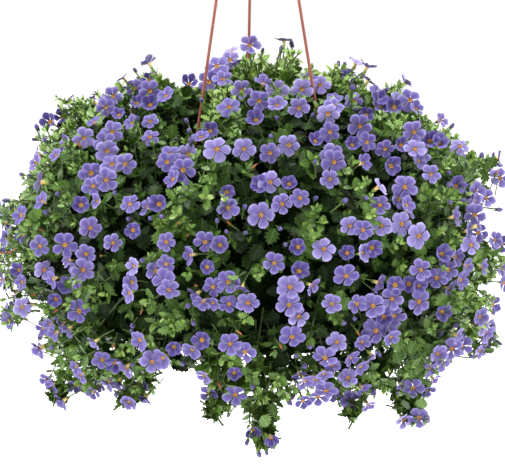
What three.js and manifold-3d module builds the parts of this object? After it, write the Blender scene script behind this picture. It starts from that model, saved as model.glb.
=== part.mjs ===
// A bacopa in a hanging pot: hook, three hanger rods, pot, compost, leafy trailing stems and drifts of flowers.
// Millimetres, +Z up. The origin is the point of the hook that bears on whatever the pot hangs from.

import * as THREE from 'three';
import { mergeVertices } from 'three/addons/utils/BufferGeometryUtils.js';
import Module from 'manifold-3d';

const wasm = await Module();
wasm.setup();

const DEGREE = Math.PI / 180;
const SEED = 2028;

// Clearance between pieces that touch on the real thing
const SEAT_GAP = 0.3;

// Hook and collar
const HOOK_WIRE = 4.4;
const HOOK_INNER_RADIUS = 14;
const HOOK_SIDES = 6;
const HOOK_STEPS = 12;
const HOOK_ARC_FROM = -45;
const HOOK_ARC_TO = 215;
const HOOK_ARC_STEP = 26;
const COLLAR_TOP_Z = -43;
const COLLAR_BOTTOM_Z = -75;
const COLLAR_TOP_RADIUS = 4.6;
const COLLAR_BOTTOM_RADIUS = 8.6;
const COLLAR_SIDES = 12;

// Hanger rods, straight from the collar to a bend just above the pot's eyes
const ARM_COUNT = 3;
const FIRST_ARM_AZIMUTH = 96.2;
const ARM_DIAMETER = 2.6;
const ARM_SIDES = 6;
const ARM_MEET_Z = -50;
const ARM_TOP_Z = -65;
const ARM_BEND_RISE = 5;
const ARM_FOOT_RADIUS = 2.6;
const ARM_FOOT_HEIGHT = 2;

// Pot, with an eye for each rod inside its rim
const POT_TOP_Z = -398;
const POT_BASE_Z = -518;
const POT_SIDES = 16;
const POT_RIM_RADIUS = 76;
const POT_RIM_DEPTH = 9;
const POT_MOUTH_RADIUS = 72.5;
const POT_BASE_RADIUS = 52;
const POT_WALL = 2;
const EYE_RADIUS = 62.4;
const EYE_INNER_RADIUS = 57;
const EYE_WIDTH = 8;
const EYE_HEIGHT = 4;
const EYE_DROP = 2;
const DRAIN_HOLE_COUNT = 4;
const DRAIN_HOLE_RADIUS = 4;
const DRAIN_HOLE_SIDES = 6;
const DRAIN_RING_RADIUS = 28;

// Compost, with a plain hole for each group of stems
const SOIL_TOP_Z = -413;
const STEM_HOLE_DEPTH = 22;
const STEM_HOLE_RADIUS = 3.5;
const STEM_HOLE_SIDES = 4;

// The foliage fills a squat ball round the pot
const BALL_CENTRE_Z = -468;
const BALL_HALF_WIDTH = 214;
const BALL_RISE = 138;
const BALL_FALL = 112;
const CROWN_POWER = 2.4;
const SKIRT_POWER = 2.8;

// Where the ball swells or dips: the middle and the spread in degrees, and the share of its radius
const SWELLS = [
  { azimuth: 231, elevation: 52, spread: 17, share: -0.13 },
  { azimuth: 335, elevation: 55, spread: 14, share: -0.07 },
  { azimuth: 90, elevation: 62, spread: 13, share: 0.05 },
  { azimuth: 207, elevation: -28, spread: 16, share: 0.07 },
  { azimuth: 248, elevation: -30, spread: 11, share: -0.09 },
  { azimuth: 318, elevation: -30, spread: 14, share: 0.05 },
  { azimuth: 160, elevation: 5, spread: 20, share: 0.03 },
  { azimuth: 40, elevation: 10, spread: 18, share: -0.03 },
  { azimuth: 128, elevation: -24, spread: 16, share: -0.05 },
  { azimuth: 65, elevation: -26, spread: 18, share: 0.04 },
];

// Rows of stem groups from the crown down, as seen in degrees from the ball's centre
const ROWS = [
  { name: 'cap', count: 3, from: 46, to: 87, columns: 4, azimuth: 156.2, inner: 0.7 },
  { name: 'upper', count: 6, from: 19, to: 46, columns: 2, azimuth: 0, inner: 0.7 },
  { name: 'middle', count: 9, from: -6, to: 19, columns: 2, azimuth: 12, inner: 0.68 },
  { name: 'skirt', count: 9, from: -36, to: -6, columns: 2, azimuth: 32, inner: 0.68 },
];
const CORE_OUTER = 0.81;
const CORE_RELIEF = 0.04;
const CORE_GAP_ANGLE = 0.7;
const CAP_SIDE_GAP_ANGLE = 2.6;
const CAP_FOOT_GAP_ANGLE = 1.2;
const CORE_LEVELS = 2;
const RAY_START_SCALE = 1.2;

// Main stalks, from their holes over the rim into each group: distance from the axis and height
const STALK_RADIUS = 1.8;
const STALK_SIDES = 3;
const STALK_END_SCALE = 0.76;
const STALK_FOOT_Z = SOIL_TOP_Z - STEM_HOLE_DEPTH + SEAT_GAP;
const STALKS = {
  cap: {
    route: [[31, STALK_FOOT_Z], [31, -411], [32.5, -403], [37, -389]],
    end: 66,
    steps: 3,
  },
  upper: {
    route: [[60, STALK_FOOT_Z], [60, -411], [61.5, -402], [70, -393], [85, -391]],
    end: 33,
    steps: 6,
  },
  middle: {
    route: [[55, STALK_FOOT_Z], [55, -411], [56.5, -402], [66, -393], [84, -392.5]],
    end: 6,
    steps: 7,
  },
  skirt: {
    route: [[50, STALK_FOOT_Z], [50, -411], [52, -401], [63, -393], [81, -393.5], [104, -424]],
    end: -20,
    steps: 8,
  },
};

// Flowers: a five-petalled star with a dimpled throat, joined petal to petal in drifts
const FLOWER_RADIUS = 15;
const PETAL_COUNT = 5;
const PETAL_HALF_SPREAD = 19;
const NOTCH_SHARE = 0.5;
const PETAL_LIFT = 0.8;
const NOTCH_DROP = 0.6;
const THROAT_DEPTH = 1.8;
const BACK_DEPTH = 4.6;
const JOIN_SHARE = 0.86;
const FLOWER_CLEARANCE = 0.5;
const DRIFT_LENGTHS = { cap: 5, upper: 5, middle: 4, skirt: 4 };
const DRIFT_ATTEMPTS = 14;
const DRIFT_TRIES = 14;
const DRIFT_TILT = [0.4, 0.6];
const DRIFT_TWIST = 0.04;
const DRIFT_SWAY = 0.3;
const DRIFT_START_MARGIN = 5;
const DRIFT_EDGE_MARGIN = 2.5;
const DRIFT_TOP_ELEVATION = 84;
const PEG_RADIUS = 1;
const PEG_GAP = 0.7;
const PEG_EVERY = 4;

// Leafy tips: two crossed pairs of toothed leaves, seen from the end of their shoot
const TIP_RADIUS = 28;
const TIP_LEAVES = 4;
const TIP_TOOTH_SHARE = 0.8;
const TIP_TOOTH_ANGLE = 25;
const TIP_NOTCH_SHARE = 0.36;
const TIP_THICKNESS = 2.6;
const TIP_CURL = [-9, 5];
const TIP_DEPTHS = [0.92, 0.99];
const TIP_TILT = 0.45;
const TIP_STALK_RADIUS = 1.3;
const TIP_CLEARANCE = 0.5;
const TIP_TOP_ELEVATION = 82;
const TIPS_PER_GROUP = { cap: 5, upper: 5, middle: 5, skirt: 5 };
const TIP_TRIES = 110;
const TIP_CHOICES = 5;
const ROOT_DEPTH = 3.5;
const TIP_ROOT_LIMIT = 24;

// Leafy shoots that hang below the ball: the tip's azimuth in degrees, distance from the axis and height
const HANGING_SHOOTS = [
  { azimuth: 273, radius: 165, z: -588 },
  { azimuth: 320, radius: 170, z: -593 },
  { azimuth: 298, radius: 166, z: -579 },
  { azimuth: 232, radius: 165, z: -568 },
  { azimuth: 209.5, radius: 185, z: -580 },
  { azimuth: 258, radius: 158, z: -568 },
  { azimuth: 347, radius: 188, z: -562 },
  { azimuth: 22, radius: 176, z: -572 },
  { azimuth: 62, radius: 170, z: -584 },
  { azimuth: 101, radius: 168, z: -576 },
  { azimuth: 141, radius: 174, z: -588 },
  { azimuth: 178, radius: 186, z: -570 },
];
const SHOOT_TIP_RADIUS = 25;
const SHOOT_FOOT_ELEVATION = -33.5;
const SHOOT_FOOT_SCALE = 0.72;
const SHOOT_TILT = 0.3;
const SHOOT_TRIES = 60;
const SHOOT_ROOT_LIMIT = 60;

const PLASTIC = { color: 0xa8583f, roughness: 0.45, metalness: 0 };
const COMPOST = { color: 0x3a2a20, roughness: 0.95, metalness: 0 };
const LEAF_GREEN = { color: 0x527d2f, roughness: 0.6, metalness: 0 };
const PETAL_VIOLET = { color: 0x8c82d4, roughness: 0.7, metalness: 0 };

// A repeatable stream of numbers from 0 to 1
function randomStream(seed) {
  let state = seed >>> 0;
  return () => {
    state = (state + 0x6d2b79f5) >>> 0;
    let mixed = Math.imul(state ^ (state >>> 15), state | 1);
    mixed ^= mixed + Math.imul(mixed ^ (mixed >>> 7), mixed | 61);
    return ((mixed ^ (mixed >>> 14)) >>> 0) / 4294967296;
  };
}

const random = randomStream(SEED);
const between = (low, high) => low + (high - low) * random();
const randomVector = () => new THREE.Vector3(between(-1, 1), between(-1, 1), between(-1, 1));
const wrapped = (angle) => ((angle % 360) + 360) % 360;

function solidFrom(geometry) {
  const bare = geometry.clone();
  bare.deleteAttribute('normal');
  bare.deleteAttribute('uv');
  const merged = mergeVertices(bare, 1e-4);
  return new wasm.Manifold(new wasm.Mesh({
    numProp: 3,
    vertProperties: Float32Array.from(merged.attributes.position.array),
    triVerts: Uint32Array.from(merged.index.array),
  }));
}

function geometryFrom(solid) {
  const mesh = solid.getMesh();
  const geometry = new THREE.BufferGeometry();
  geometry.setAttribute('position', new THREE.BufferAttribute(mesh.vertProperties, 3));
  geometry.setIndex(new THREE.BufferAttribute(mesh.triVerts, 1));
  geometry.computeVertexNormals();
  return geometry;
}

function joined(solids) {
  return solids.reduce((sum, solid) => sum.add(solid));
}

// A closed solid from its corners and its triangles
function facetSolid(corners, triangles) {
  const geometry = new THREE.BufferGeometry();
  geometry.setAttribute('position', new THREE.Float32BufferAttribute(corners.flatMap((p) => p.toArray()), 3));
  geometry.setIndex(triangles.flat());
  return solidFrom(geometry);
}

// A round or tapered rod between two points
function rodSolid(start, end, sides, startRadius, endRadius = startRadius) {
  const along = end.clone().sub(start);
  const geometry = new THREE.CylinderGeometry(endRadius, startRadius, along.length(), sides);
  const upright = new THREE.Vector3(0, 1, 0);
  geometry.applyQuaternion(new THREE.Quaternion().setFromUnitVectors(upright, along.clone().normalize()));
  const middle = start.clone().lerp(end, 0.5);
  geometry.translate(middle.x, middle.y, middle.z);
  return solidFrom(geometry);
}

function tubeSolid(points, radius, sides, steps) {
  const shape = new THREE.Shape();
  for (let i = 0; i < sides; i += 1) {
    const angle = (i / sides) * 2 * Math.PI;
    const corner = [radius * Math.cos(angle), radius * Math.sin(angle)];
    if (i === 0) shape.moveTo(...corner);
    else shape.lineTo(...corner);
  }
  shape.closePath();
  const extrudePath = new THREE.CatmullRomCurve3(points, false, 'centripetal');
  return solidFrom(new THREE.ExtrudeGeometry(shape, { steps, extrudePath, curveSegments: 1 }));
}

// A turned solid from a profile of [radius, height] that starts and ends on the axis
function latheSolid(profile, sides) {
  const geometry = new THREE.LatheGeometry(profile.map(([r, z]) => new THREE.Vector2(r, z)), sides);
  geometry.rotateX(Math.PI / 2);
  return solidFrom(geometry);
}

function polar(azimuth, radius, z) {
  return new THREE.Vector3(radius * Math.cos(azimuth * DEGREE), radius * Math.sin(azimuth * DEGREE), z);
}

function direction(azimuth, elevation) {
  return polar(azimuth, Math.cos(elevation * DEGREE), Math.sin(elevation * DEGREE));
}

// How far the foliage reaches from the ball's centre
function ballRadius(azimuth, elevation) {
  const across = Math.cos(elevation * DEGREE);
  const up = Math.sin(elevation * DEGREE);
  const reach = up > 0 ? BALL_RISE : BALL_FALL;
  const power = up > 0 ? CROWN_POWER : SKIRT_POWER;
  const plain = ((across / BALL_HALF_WIDTH) ** power + (Math.abs(up) / reach) ** power) ** (-1 / power);
  const here = direction(azimuth, elevation);
  const swell = SWELLS.reduce((sum, item) => {
    const angle = here.angleTo(direction(item.azimuth, item.elevation)) / DEGREE;
    return sum + item.share * Math.exp(-((angle / item.spread) ** 2));
  }, 0);
  return plain * (1 + swell);
}

function ballPoint(azimuth, elevation, scale) {
  const point = direction(azimuth, elevation).multiplyScalar(ballRadius(azimuth, elevation) * scale);
  point.z += BALL_CENTRE_Z;
  return point;
}

function ballNormal(azimuth, elevation) {
  const step = 1.5;
  const along = ballPoint(azimuth + step, elevation, 1).sub(ballPoint(azimuth - step, elevation, 1));
  const up = ballPoint(azimuth, elevation + step, 1).sub(ballPoint(azimuth, elevation - step, 1));
  return along.cross(up).normalize();
}

function anglesOf(point) {
  const offset = point.clone();
  offset.z -= BALL_CENTRE_Z;
  const azimuth = Math.atan2(offset.y, offset.x) / DEGREE;
  const elevation = Math.asin(offset.z / offset.length()) / DEGREE;
  return { azimuth, elevation };
}

// What lies of a vector in the plane square to a normal
function flattened(vector, normal) {
  return vector.clone().addScaledVector(normal, -vector.dot(normal)).normalize();
}

// Pieces already placed, so that nothing new crosses them
const placed = [];

function sphereRound(solid) {
  const box = solid.boundingBox();
  const bounds = new THREE.Box3(new THREE.Vector3(...box.min), new THREE.Vector3(...box.max));
  return bounds.getBoundingSphere(new THREE.Sphere());
}

function place(solid, owner) {
  placed.push({ solid, owner, sphere: sphereRound(solid) });
}

function isClear(solid, ignored = []) {
  const sphere = sphereRound(solid);
  return placed.every((item) => ignored.includes(item.owner)
    || !sphere.intersectsSphere(item.sphere)
    || item.solid.intersect(solid).isEmpty());
}

const armAzimuths = Array.from({ length: ARM_COUNT }, (_, i) => FIRST_ARM_AZIMUTH + (i * 360) / ARM_COUNT);

// The straight line of a rod: distance from the axis at a height
function armReach(z) {
  return (EYE_RADIUS * (ARM_MEET_Z - z)) / (ARM_MEET_Z - POT_TOP_Z - ARM_BEND_RISE);
}

function makeArm(azimuth) {
  const bendZ = POT_TOP_Z + ARM_BEND_RISE;
  const footTopZ = POT_TOP_Z - EYE_DROP - EYE_HEIGHT - SEAT_GAP;
  const radius = ARM_DIAMETER / 2;
  const top = polar(azimuth, armReach(ARM_TOP_Z), ARM_TOP_Z);
  const bend = polar(azimuth, EYE_RADIUS, bendZ);
  const foot = polar(azimuth, EYE_RADIUS, footTopZ);
  const sole = polar(azimuth, EYE_RADIUS, footTopZ - ARM_FOOT_HEIGHT);
  const knee = polar(azimuth, EYE_RADIUS, bendZ + radius / 2);
  const ankle = polar(azimuth, EYE_RADIUS, footTopZ - radius);
  return joined([
    rodSolid(top, bend, ARM_SIDES, radius),
    rodSolid(knee, ankle, ARM_SIDES, radius),
    rodSolid(foot, sole, ARM_SIDES, ARM_FOOT_RADIUS),
  ]);
}

// An open hook above a collar whose three bores hold the rods' top ends
function makeHook() {
  const radius = HOOK_INNER_RADIUS + HOOK_WIRE / 2;
  const centreZ = -HOOK_INNER_RADIUS;
  const path = [
    new THREE.Vector3(0, 0, COLLAR_TOP_Z - HOOK_WIRE),
    new THREE.Vector3(0, 0, COLLAR_TOP_Z + HOOK_WIRE),
    new THREE.Vector3(radius / 4, 0, centreZ - radius),
  ];
  for (let angle = HOOK_ARC_FROM; angle <= HOOK_ARC_TO; angle += HOOK_ARC_STEP) {
    const x = radius * Math.cos(angle * DEGREE);
    const z = centreZ + radius * Math.sin(angle * DEGREE);
    path.push(new THREE.Vector3(x, 0, z));
  }
  const collar = latheSolid([
    [0, COLLAR_BOTTOM_Z],
    [COLLAR_BOTTOM_RADIUS, COLLAR_BOTTOM_Z],
    [COLLAR_BOTTOM_RADIUS, COLLAR_BOTTOM_Z + COLLAR_BOTTOM_RADIUS],
    [COLLAR_TOP_RADIUS, COLLAR_TOP_Z],
    [0, COLLAR_TOP_Z],
  ], COLLAR_SIDES);
  const bores = armAzimuths.map((azimuth) => {
    const boreTopZ = ARM_TOP_Z + SEAT_GAP;
    const boreEndZ = COLLAR_BOTTOM_Z - ARM_DIAMETER;
    const top = polar(azimuth, armReach(boreTopZ), boreTopZ);
    const end = polar(azimuth, armReach(boreEndZ), boreEndZ);
    return rodSolid(top, end, ARM_SIDES, ARM_DIAMETER / 2 + SEAT_GAP);
  });
  return tubeSolid(path, HOOK_WIRE / 2, HOOK_SIDES, HOOK_STEPS).add(collar).subtract(joined(bores));
}

// Distance from the axis of the pot's inner wall at a height
function potInnerRadius(z) {
  const share = (z - POT_BASE_Z - POT_WALL) / (POT_TOP_Z - POT_BASE_Z - POT_WALL);
  return POT_BASE_RADIUS - POT_WALL + share * (POT_MOUTH_RADIUS - POT_BASE_RADIUS + POT_WALL);
}

function makePot() {
  const rimFootZ = POT_TOP_Z - POT_RIM_DEPTH;
  const shell = latheSolid([
    [0, POT_BASE_Z],
    [POT_BASE_RADIUS, POT_BASE_Z],
    [potInnerRadius(rimFootZ) + POT_WALL, rimFootZ],
    [POT_RIM_RADIUS, rimFootZ],
    [POT_RIM_RADIUS, POT_TOP_Z],
    [POT_MOUTH_RADIUS, POT_TOP_Z],
    [POT_BASE_RADIUS - POT_WALL, POT_BASE_Z + POT_WALL],
    [0, POT_BASE_Z + POT_WALL],
  ], POT_SIDES);
  const eyes = armAzimuths.map((azimuth) => {
    const wallReach = potInnerRadius(POT_TOP_Z - EYE_DROP - EYE_HEIGHT) + POT_WALL / 2;
    const eye = new THREE.BoxGeometry(wallReach - EYE_INNER_RADIUS, EYE_WIDTH, EYE_HEIGHT);
    eye.translate((wallReach + EYE_INNER_RADIUS) / 2, 0, POT_TOP_Z - EYE_DROP - EYE_HEIGHT / 2);
    eye.rotateZ(azimuth * DEGREE);
    return solidFrom(eye);
  });
  const eyeHoles = armAzimuths.map((azimuth) => rodSolid(
    polar(azimuth, EYE_RADIUS, POT_TOP_Z - POT_RIM_DEPTH),
    polar(azimuth, EYE_RADIUS, POT_TOP_Z),
    ARM_SIDES,
    ARM_DIAMETER / 2 + SEAT_GAP,
  ));
  const drainHoles = Array.from({ length: DRAIN_HOLE_COUNT }, (_, i) => rodSolid(
    polar((i * 360) / DRAIN_HOLE_COUNT, DRAIN_RING_RADIUS, POT_BASE_Z - POT_WALL),
    polar((i * 360) / DRAIN_HOLE_COUNT, DRAIN_RING_RADIUS, POT_BASE_Z + 2 * POT_WALL),
    DRAIN_HOLE_SIDES,
    DRAIN_HOLE_RADIUS,
  ));
  return joined([shell, ...eyes]).subtract(joined([...eyeHoles, ...drainHoles]));
}

function makeSoil(groups) {
  const footZ = POT_BASE_Z + POT_WALL + SEAT_GAP;
  const body = latheSolid([
    [0, footZ],
    [potInnerRadius(footZ) - SEAT_GAP, footZ],
    [potInnerRadius(SOIL_TOP_Z) - SEAT_GAP, SOIL_TOP_Z],
    [0, SOIL_TOP_Z],
  ], POT_SIDES);
  const holes = groups.map((group) => {
    const radius = STALKS[group.row.name].route[0][0];
    return rodSolid(
      polar(group.stalkAzimuth, radius, SOIL_TOP_Z - STEM_HOLE_DEPTH),
      polar(group.stalkAzimuth, radius, SOIL_TOP_Z + 1),
      STEM_HOLE_SIDES,
      STEM_HOLE_RADIUS,
    );
  });
  return body.subtract(joined(holes));
}

// The dense heart of a group: a block of the ball between two depths, with an uneven outer face
function makeCore(group) {
  const { row, azimuthFrom, azimuthTo } = group;
  const sideGap = row.name === 'cap' ? CAP_SIDE_GAP_ANGLE : CORE_GAP_ANGLE;
  const footGap = row.name === 'cap' ? CAP_FOOT_GAP_ANGLE : CORE_GAP_ANGLE;
  const corners = [];
  const grid = [];
  for (const outer of [true, false]) {
    const layer = [];
    for (let i = 0; i <= row.columns; i += 1) {
      const azimuth = azimuthFrom + sideGap + (i / row.columns) * (azimuthTo - azimuthFrom - 2 * sideGap);
      layer.push([]);
      for (let j = 0; j <= CORE_LEVELS; j += 1) {
        const span = row.to - row.from - footGap - CORE_GAP_ANGLE;
        const elevation = row.from + footGap + (j / CORE_LEVELS) * span;
        const scale = outer ? CORE_OUTER + between(-CORE_RELIEF, CORE_RELIEF) : row.inner;
        layer[i].push(corners.length);
        corners.push(ballPoint(azimuth, elevation, scale));
      }
    }
    grid.push(layer);
  }
  const [face, back] = grid;
  const triangles = [];
  const quad = (a, b, c, d) => triangles.push([a, b, c], [a, c, d]);
  const last = row.columns;
  for (let i = 0; i < last; i += 1) {
    for (let j = 0; j < CORE_LEVELS; j += 1) {
      quad(face[i][j], face[i + 1][j], face[i + 1][j + 1], face[i][j + 1]);
      quad(back[i][j], back[i][j + 1], back[i + 1][j + 1], back[i + 1][j]);
    }
    quad(face[i + 1][0], face[i][0], back[i][0], back[i + 1][0]);
    quad(face[i][CORE_LEVELS], face[i + 1][CORE_LEVELS], back[i + 1][CORE_LEVELS], back[i][CORE_LEVELS]);
  }
  for (let j = 0; j < CORE_LEVELS; j += 1) {
    quad(face[last][j + 1], face[last][j], back[last][j], back[last][j + 1]);
    quad(face[0][j], face[0][j + 1], back[0][j + 1], back[0][j]);
  }
  return facetSolid(corners, triangles);
}

function makeStalk(group) {
  const plan = STALKS[group.row.name];
  const points = plan.route.map(([radius, z]) => polar(group.stalkAzimuth, radius, z));
  points.push(ballPoint(group.stalkAzimuth, plan.end, STALK_END_SCALE));
  return tubeSolid(points, STALK_RADIUS, STALK_SIDES, plan.steps);
}

// A thin star from its middle, the way it faces and the way its first point leads. The rim lists each
// corner's angle, reach and height. The back closes in a point or runs on as a three-sided stalk to a foot.
function starSolid({ centre, normal, lead }, rim, frontZ, backZ, stalk = null) {
  const left = normal.clone().cross(lead);
  const at = (angle, reach, z) => centre.clone()
    .addScaledVector(lead, reach * Math.cos(angle * DEGREE))
    .addScaledVector(left, reach * Math.sin(angle * DEGREE))
    .addScaledVector(normal, z);
  const corners = rim.map(([angle, reach, z]) => at(angle, reach, z));
  const front = corners.length;
  corners.push(at(0, 0, frontZ));
  const back = corners.length;
  const triangles = rim.map((_, i) => [front, i, (i + 1) % rim.length]);
  if (!stalk) {
    corners.push(at(0, 0, backZ));
    rim.forEach((_, i) => triangles.push([back, (i + 1) % rim.length, i]));
    return facetSolid(corners, triangles);
  }
  const side = (i) => back + (i % STALK_SIDES);
  const foot = (i) => side(i) + STALK_SIDES;
  const rimSide = (i) => Math.floor((i * STALK_SIDES) / rim.length);
  const thirds = Array.from({ length: STALK_SIDES }, (_, k) => rim[0][0] + ((k + 0.5) * 360) / STALK_SIDES);
  thirds.forEach((angle) => corners.push(at(angle, stalk.radius, backZ)));
  thirds.forEach((angle) => corners.push(at(angle, stalk.radius, 0).sub(centre).add(stalk.foot)));
  rim.forEach((_, i) => {
    const next = (i + 1) % rim.length;
    triangles.push([side(rimSide(i)), next, i]);
    if (rimSide(next) !== rimSide(i)) triangles.push([side(rimSide(i)), side(rimSide(next)), next]);
  });
  for (let k = 0; k < STALK_SIDES; k += 1) {
    triangles.push([side(k), foot(k), foot(k + 1)], [side(k), foot(k + 1), side(k + 1)]);
  }
  triangles.push([foot(2), foot(1), foot(0)]);
  return facetSolid(corners, triangles);
}

function makeFlower(flower) {
  const rim = Array.from({ length: PETAL_COUNT }, (_, i) => (i * 360) / PETAL_COUNT).flatMap((angle) => [
    [angle - PETAL_HALF_SPREAD, FLOWER_RADIUS, PETAL_LIFT],
    [angle + PETAL_HALF_SPREAD, FLOWER_RADIUS, PETAL_LIFT],
    [angle + 180 / PETAL_COUNT, FLOWER_RADIUS * NOTCH_SHARE, -NOTCH_DROP],
  ]);
  return starSolid(flower, rim, -THROAT_DEPTH, -BACK_DEPTH);
}

// The room that a flower needs
function flowerRoom({ centre, normal }) {
  const front = centre.clone().addScaledVector(normal, PETAL_LIFT + FLOWER_CLEARANCE);
  const back = centre.clone().addScaledVector(normal, -BACK_DEPTH - FLOWER_CLEARANCE);
  return rodSolid(back, front, 2 * PETAL_COUNT, FLOWER_RADIUS / 3, FLOWER_RADIUS + FLOWER_CLEARANCE);
}

function tiltedNormal(azimuth, elevation, towards, lean) {
  return ballNormal(azimuth, elevation).addScaledVector(towards, lean).normalize();
}

// The next flower of a drift, with one petal through a petal of the last
function nextFlower(flower, heading) {
  const petal = flower.lead.clone().applyAxisAngle(flower.normal, heading * DEGREE);
  const joint = flower.centre.clone().addScaledVector(petal, JOIN_SHARE * FLOWER_RADIUS);
  const guess = anglesOf(joint.clone().addScaledVector(petal, JOIN_SHARE * FLOWER_RADIUS));
  const aside = petal.clone().cross(flower.normal);
  const normal = tiltedNormal(guess.azimuth, guess.elevation, petal, between(...DRIFT_TILT));
  normal.addScaledVector(aside, between(-DRIFT_TWIST, DRIFT_TWIST)).normalize();
  const lead = flattened(petal.clone().negate(), normal);
  const centre = joint.clone().addScaledVector(lead, -JOIN_SHARE * FLOWER_RADIUS);
  return { centre, normal, lead };
}

// Whether a point lies over its own group, off the group's edges
function isInside(group, point) {
  const { azimuth, elevation } = anglesOf(point);
  const { row } = group;
  const fromMiddle = Math.min(wrapped(azimuth - group.azimuth), wrapped(group.azimuth - azimuth));
  const sideMargin = DRIFT_EDGE_MARGIN / Math.max(Math.cos(elevation * DEGREE), DRIFT_SWAY);
  return fromMiddle < 180 / row.count - sideMargin
    && elevation > row.from + DRIFT_EDGE_MARGIN
    && elevation < Math.min(row.to, DRIFT_TOP_ELEVATION) - DRIFT_EDGE_MARGIN;
}

function growDrift(group, length) {
  let best = [];
  for (let attempt = 0; attempt < DRIFT_ATTEMPTS && best.length < length; attempt += 1) {
    const spanAzimuth = 180 / group.row.count - DRIFT_START_MARGIN;
    const azimuth = group.azimuth + between(-spanAzimuth, spanAzimuth);
    const topElevation = Math.min(group.row.to, DRIFT_TOP_ELEVATION) - DRIFT_START_MARGIN;
    const elevation = between(group.row.from + DRIFT_START_MARGIN, topElevation);
    const normal = ballNormal(azimuth, elevation);
    const lead = flattened(new THREE.Vector3(0, 0, -1).addScaledVector(randomVector(), DRIFT_SWAY), normal);
    const first = { centre: ballPoint(azimuth, elevation, 1), normal, lead };
    if (!isClear(flowerRoom(first))) continue;
    const drift = [first];
    for (let tries = 0; tries < DRIFT_TRIES && drift.length < length; tries += 1) {
      const last = drift[drift.length - 1];
      const freePetal = Math.floor(random() * (PETAL_COUNT - 1));
      const heading = (360 / PETAL_COUNT) * (drift.length === 1 ? freePetal : freePetal + 1);
      const next = nextFlower(last, heading);
      const others = drift.slice(0, -1);
      const crowds = others.some((other) => other.centre.distanceTo(next.centre) < 2 * FLOWER_RADIUS);
      if (crowds || !isInside(group, next.centre) || !isClear(flowerRoom(next))) continue;
      drift.push(next);
    }
    if (drift.length > best.length) best = drift;
  }
  return best;
}

// Where a ray from outside the ball meets the face of a group's core
function facePoint(core, azimuth, elevation) {
  const mesh = new THREE.Mesh(geometryFrom(core), new THREE.MeshBasicMaterial());
  const inward = direction(azimuth, elevation).negate();
  const caster = new THREE.Raycaster(ballPoint(azimuth, elevation, RAY_START_SCALE), inward);
  const hits = caster.intersectObject(mesh);
  return hits.length > 0 ? hits[0].point : null;
}

// A short stalk from the core up to the back of a flower
function makePeg(group, flower) {
  const { azimuth, elevation } = anglesOf(flower.centre);
  const foot = facePoint(group.core, azimuth, elevation);
  if (!foot) return null;
  const head = flower.centre.clone().addScaledVector(flower.normal, -BACK_DEPTH - PEG_GAP);
  foot.addScaledVector(ballNormal(azimuth, elevation), -ROOT_DEPTH);
  return rodSolid(foot, head, STALK_SIDES, PEG_RADIUS);
}

function growPegs(group) {
  const flowers = group.drift.map(makeFlower);
  group.drift.forEach((flower, i) => {
    if (i % PEG_EVERY !== 0) return;
    const peg = makePeg(group, flower);
    const touches = peg && flowers.some((solid) => !solid.intersect(peg).isEmpty());
    if (!peg || touches || !isClear(peg, [group.name, `${group.name}_drift`])) return;
    group.pegs.push(peg);
    place(peg, `${group.name}_peg`);
  });
}

// The end of a shoot: crossed leaves, each with its own curl, on a short stalk
function makeTip(tip, radius, spare = 0) {
  const rim = tip.curls.flatMap((curl, i) => {
    const angle = (i * 360) / TIP_LEAVES;
    const toothZ = curl * TIP_TOOTH_SHARE ** 2;
    return [
      [angle - TIP_TOOTH_ANGLE, radius * TIP_TOOTH_SHARE, toothZ],
      [angle, radius, curl],
      [angle + TIP_TOOTH_ANGLE, radius * TIP_TOOTH_SHARE, toothZ],
      [angle + 180 / TIP_LEAVES, radius * TIP_NOTCH_SHARE, -TIP_THICKNESS / 2],
    ];
  });
  const stalk = { radius: TIP_STALK_RADIUS + spare, foot: tip.foot };
  return starSolid(tip, rim, spare, -TIP_THICKNESS - spare, stalk);
}

// A tip with its own tilt, turn and curls, if it clears everything placed before it
function tryTip(group, { centre, facing, foot, radius, tilt, rootLimit }) {
  const normal = facing.clone().addScaledVector(randomVector(), tilt).normalize();
  const lead = flattened(randomVector(), normal);
  const curls = Array.from({ length: TIP_LEAVES }, () => between(...TIP_CURL));
  const tip = { centre, normal, lead, curls, foot };
  const roomy = makeTip(tip, radius + TIP_CLEARANCE, TIP_CLEARANCE);
  if (!isClear(roomy, [group.name])) return null;
  const solid = makeTip(tip, radius);
  if (group.core.intersect(solid).volume() > rootLimit) return null;
  return { centre, solid, roomy };
}

function addTip(group, tip) {
  group.green.push(tip.solid);
  place(tip.roomy, `${group.name}_tip`);
  heads.push(tip.centre);
}

// Each new tip takes the emptiest of a few clear spots
function growTips(group) {
  const roomAround = (tip) => Math.min(...heads.map((head) => head.distanceTo(tip.centre)));
  for (let i = 0; i < TIPS_PER_GROUP[group.row.name]; i += 1) {
    const choices = [];
    for (let tries = 0; tries < TIP_TRIES && choices.length < TIP_CHOICES; tries += 1) {
      const azimuth = between(group.azimuthFrom, group.azimuthTo);
      const elevation = between(group.row.from, Math.min(group.row.to, TIP_TOP_ELEVATION));
      const centre = ballPoint(azimuth, elevation, between(...TIP_DEPTHS));
      const foot = facePoint(group.core, azimuth, elevation);
      if (!foot) continue;
      foot.addScaledVector(direction(azimuth, elevation), -ROOT_DEPTH);
      const facing = ballNormal(azimuth, elevation);
      const plan = { radius: TIP_RADIUS, tilt: TIP_TILT, rootLimit: TIP_ROOT_LIMIT };
      const tip = tryTip(group, { ...plan, centre, facing, foot });
      if (tip) choices.push(tip);
    }
    if (choices.length === 0) return;
    addTip(group, choices.reduce((best, tip) => (roomAround(tip) > roomAround(best) ? tip : best)));
  }
}

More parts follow.
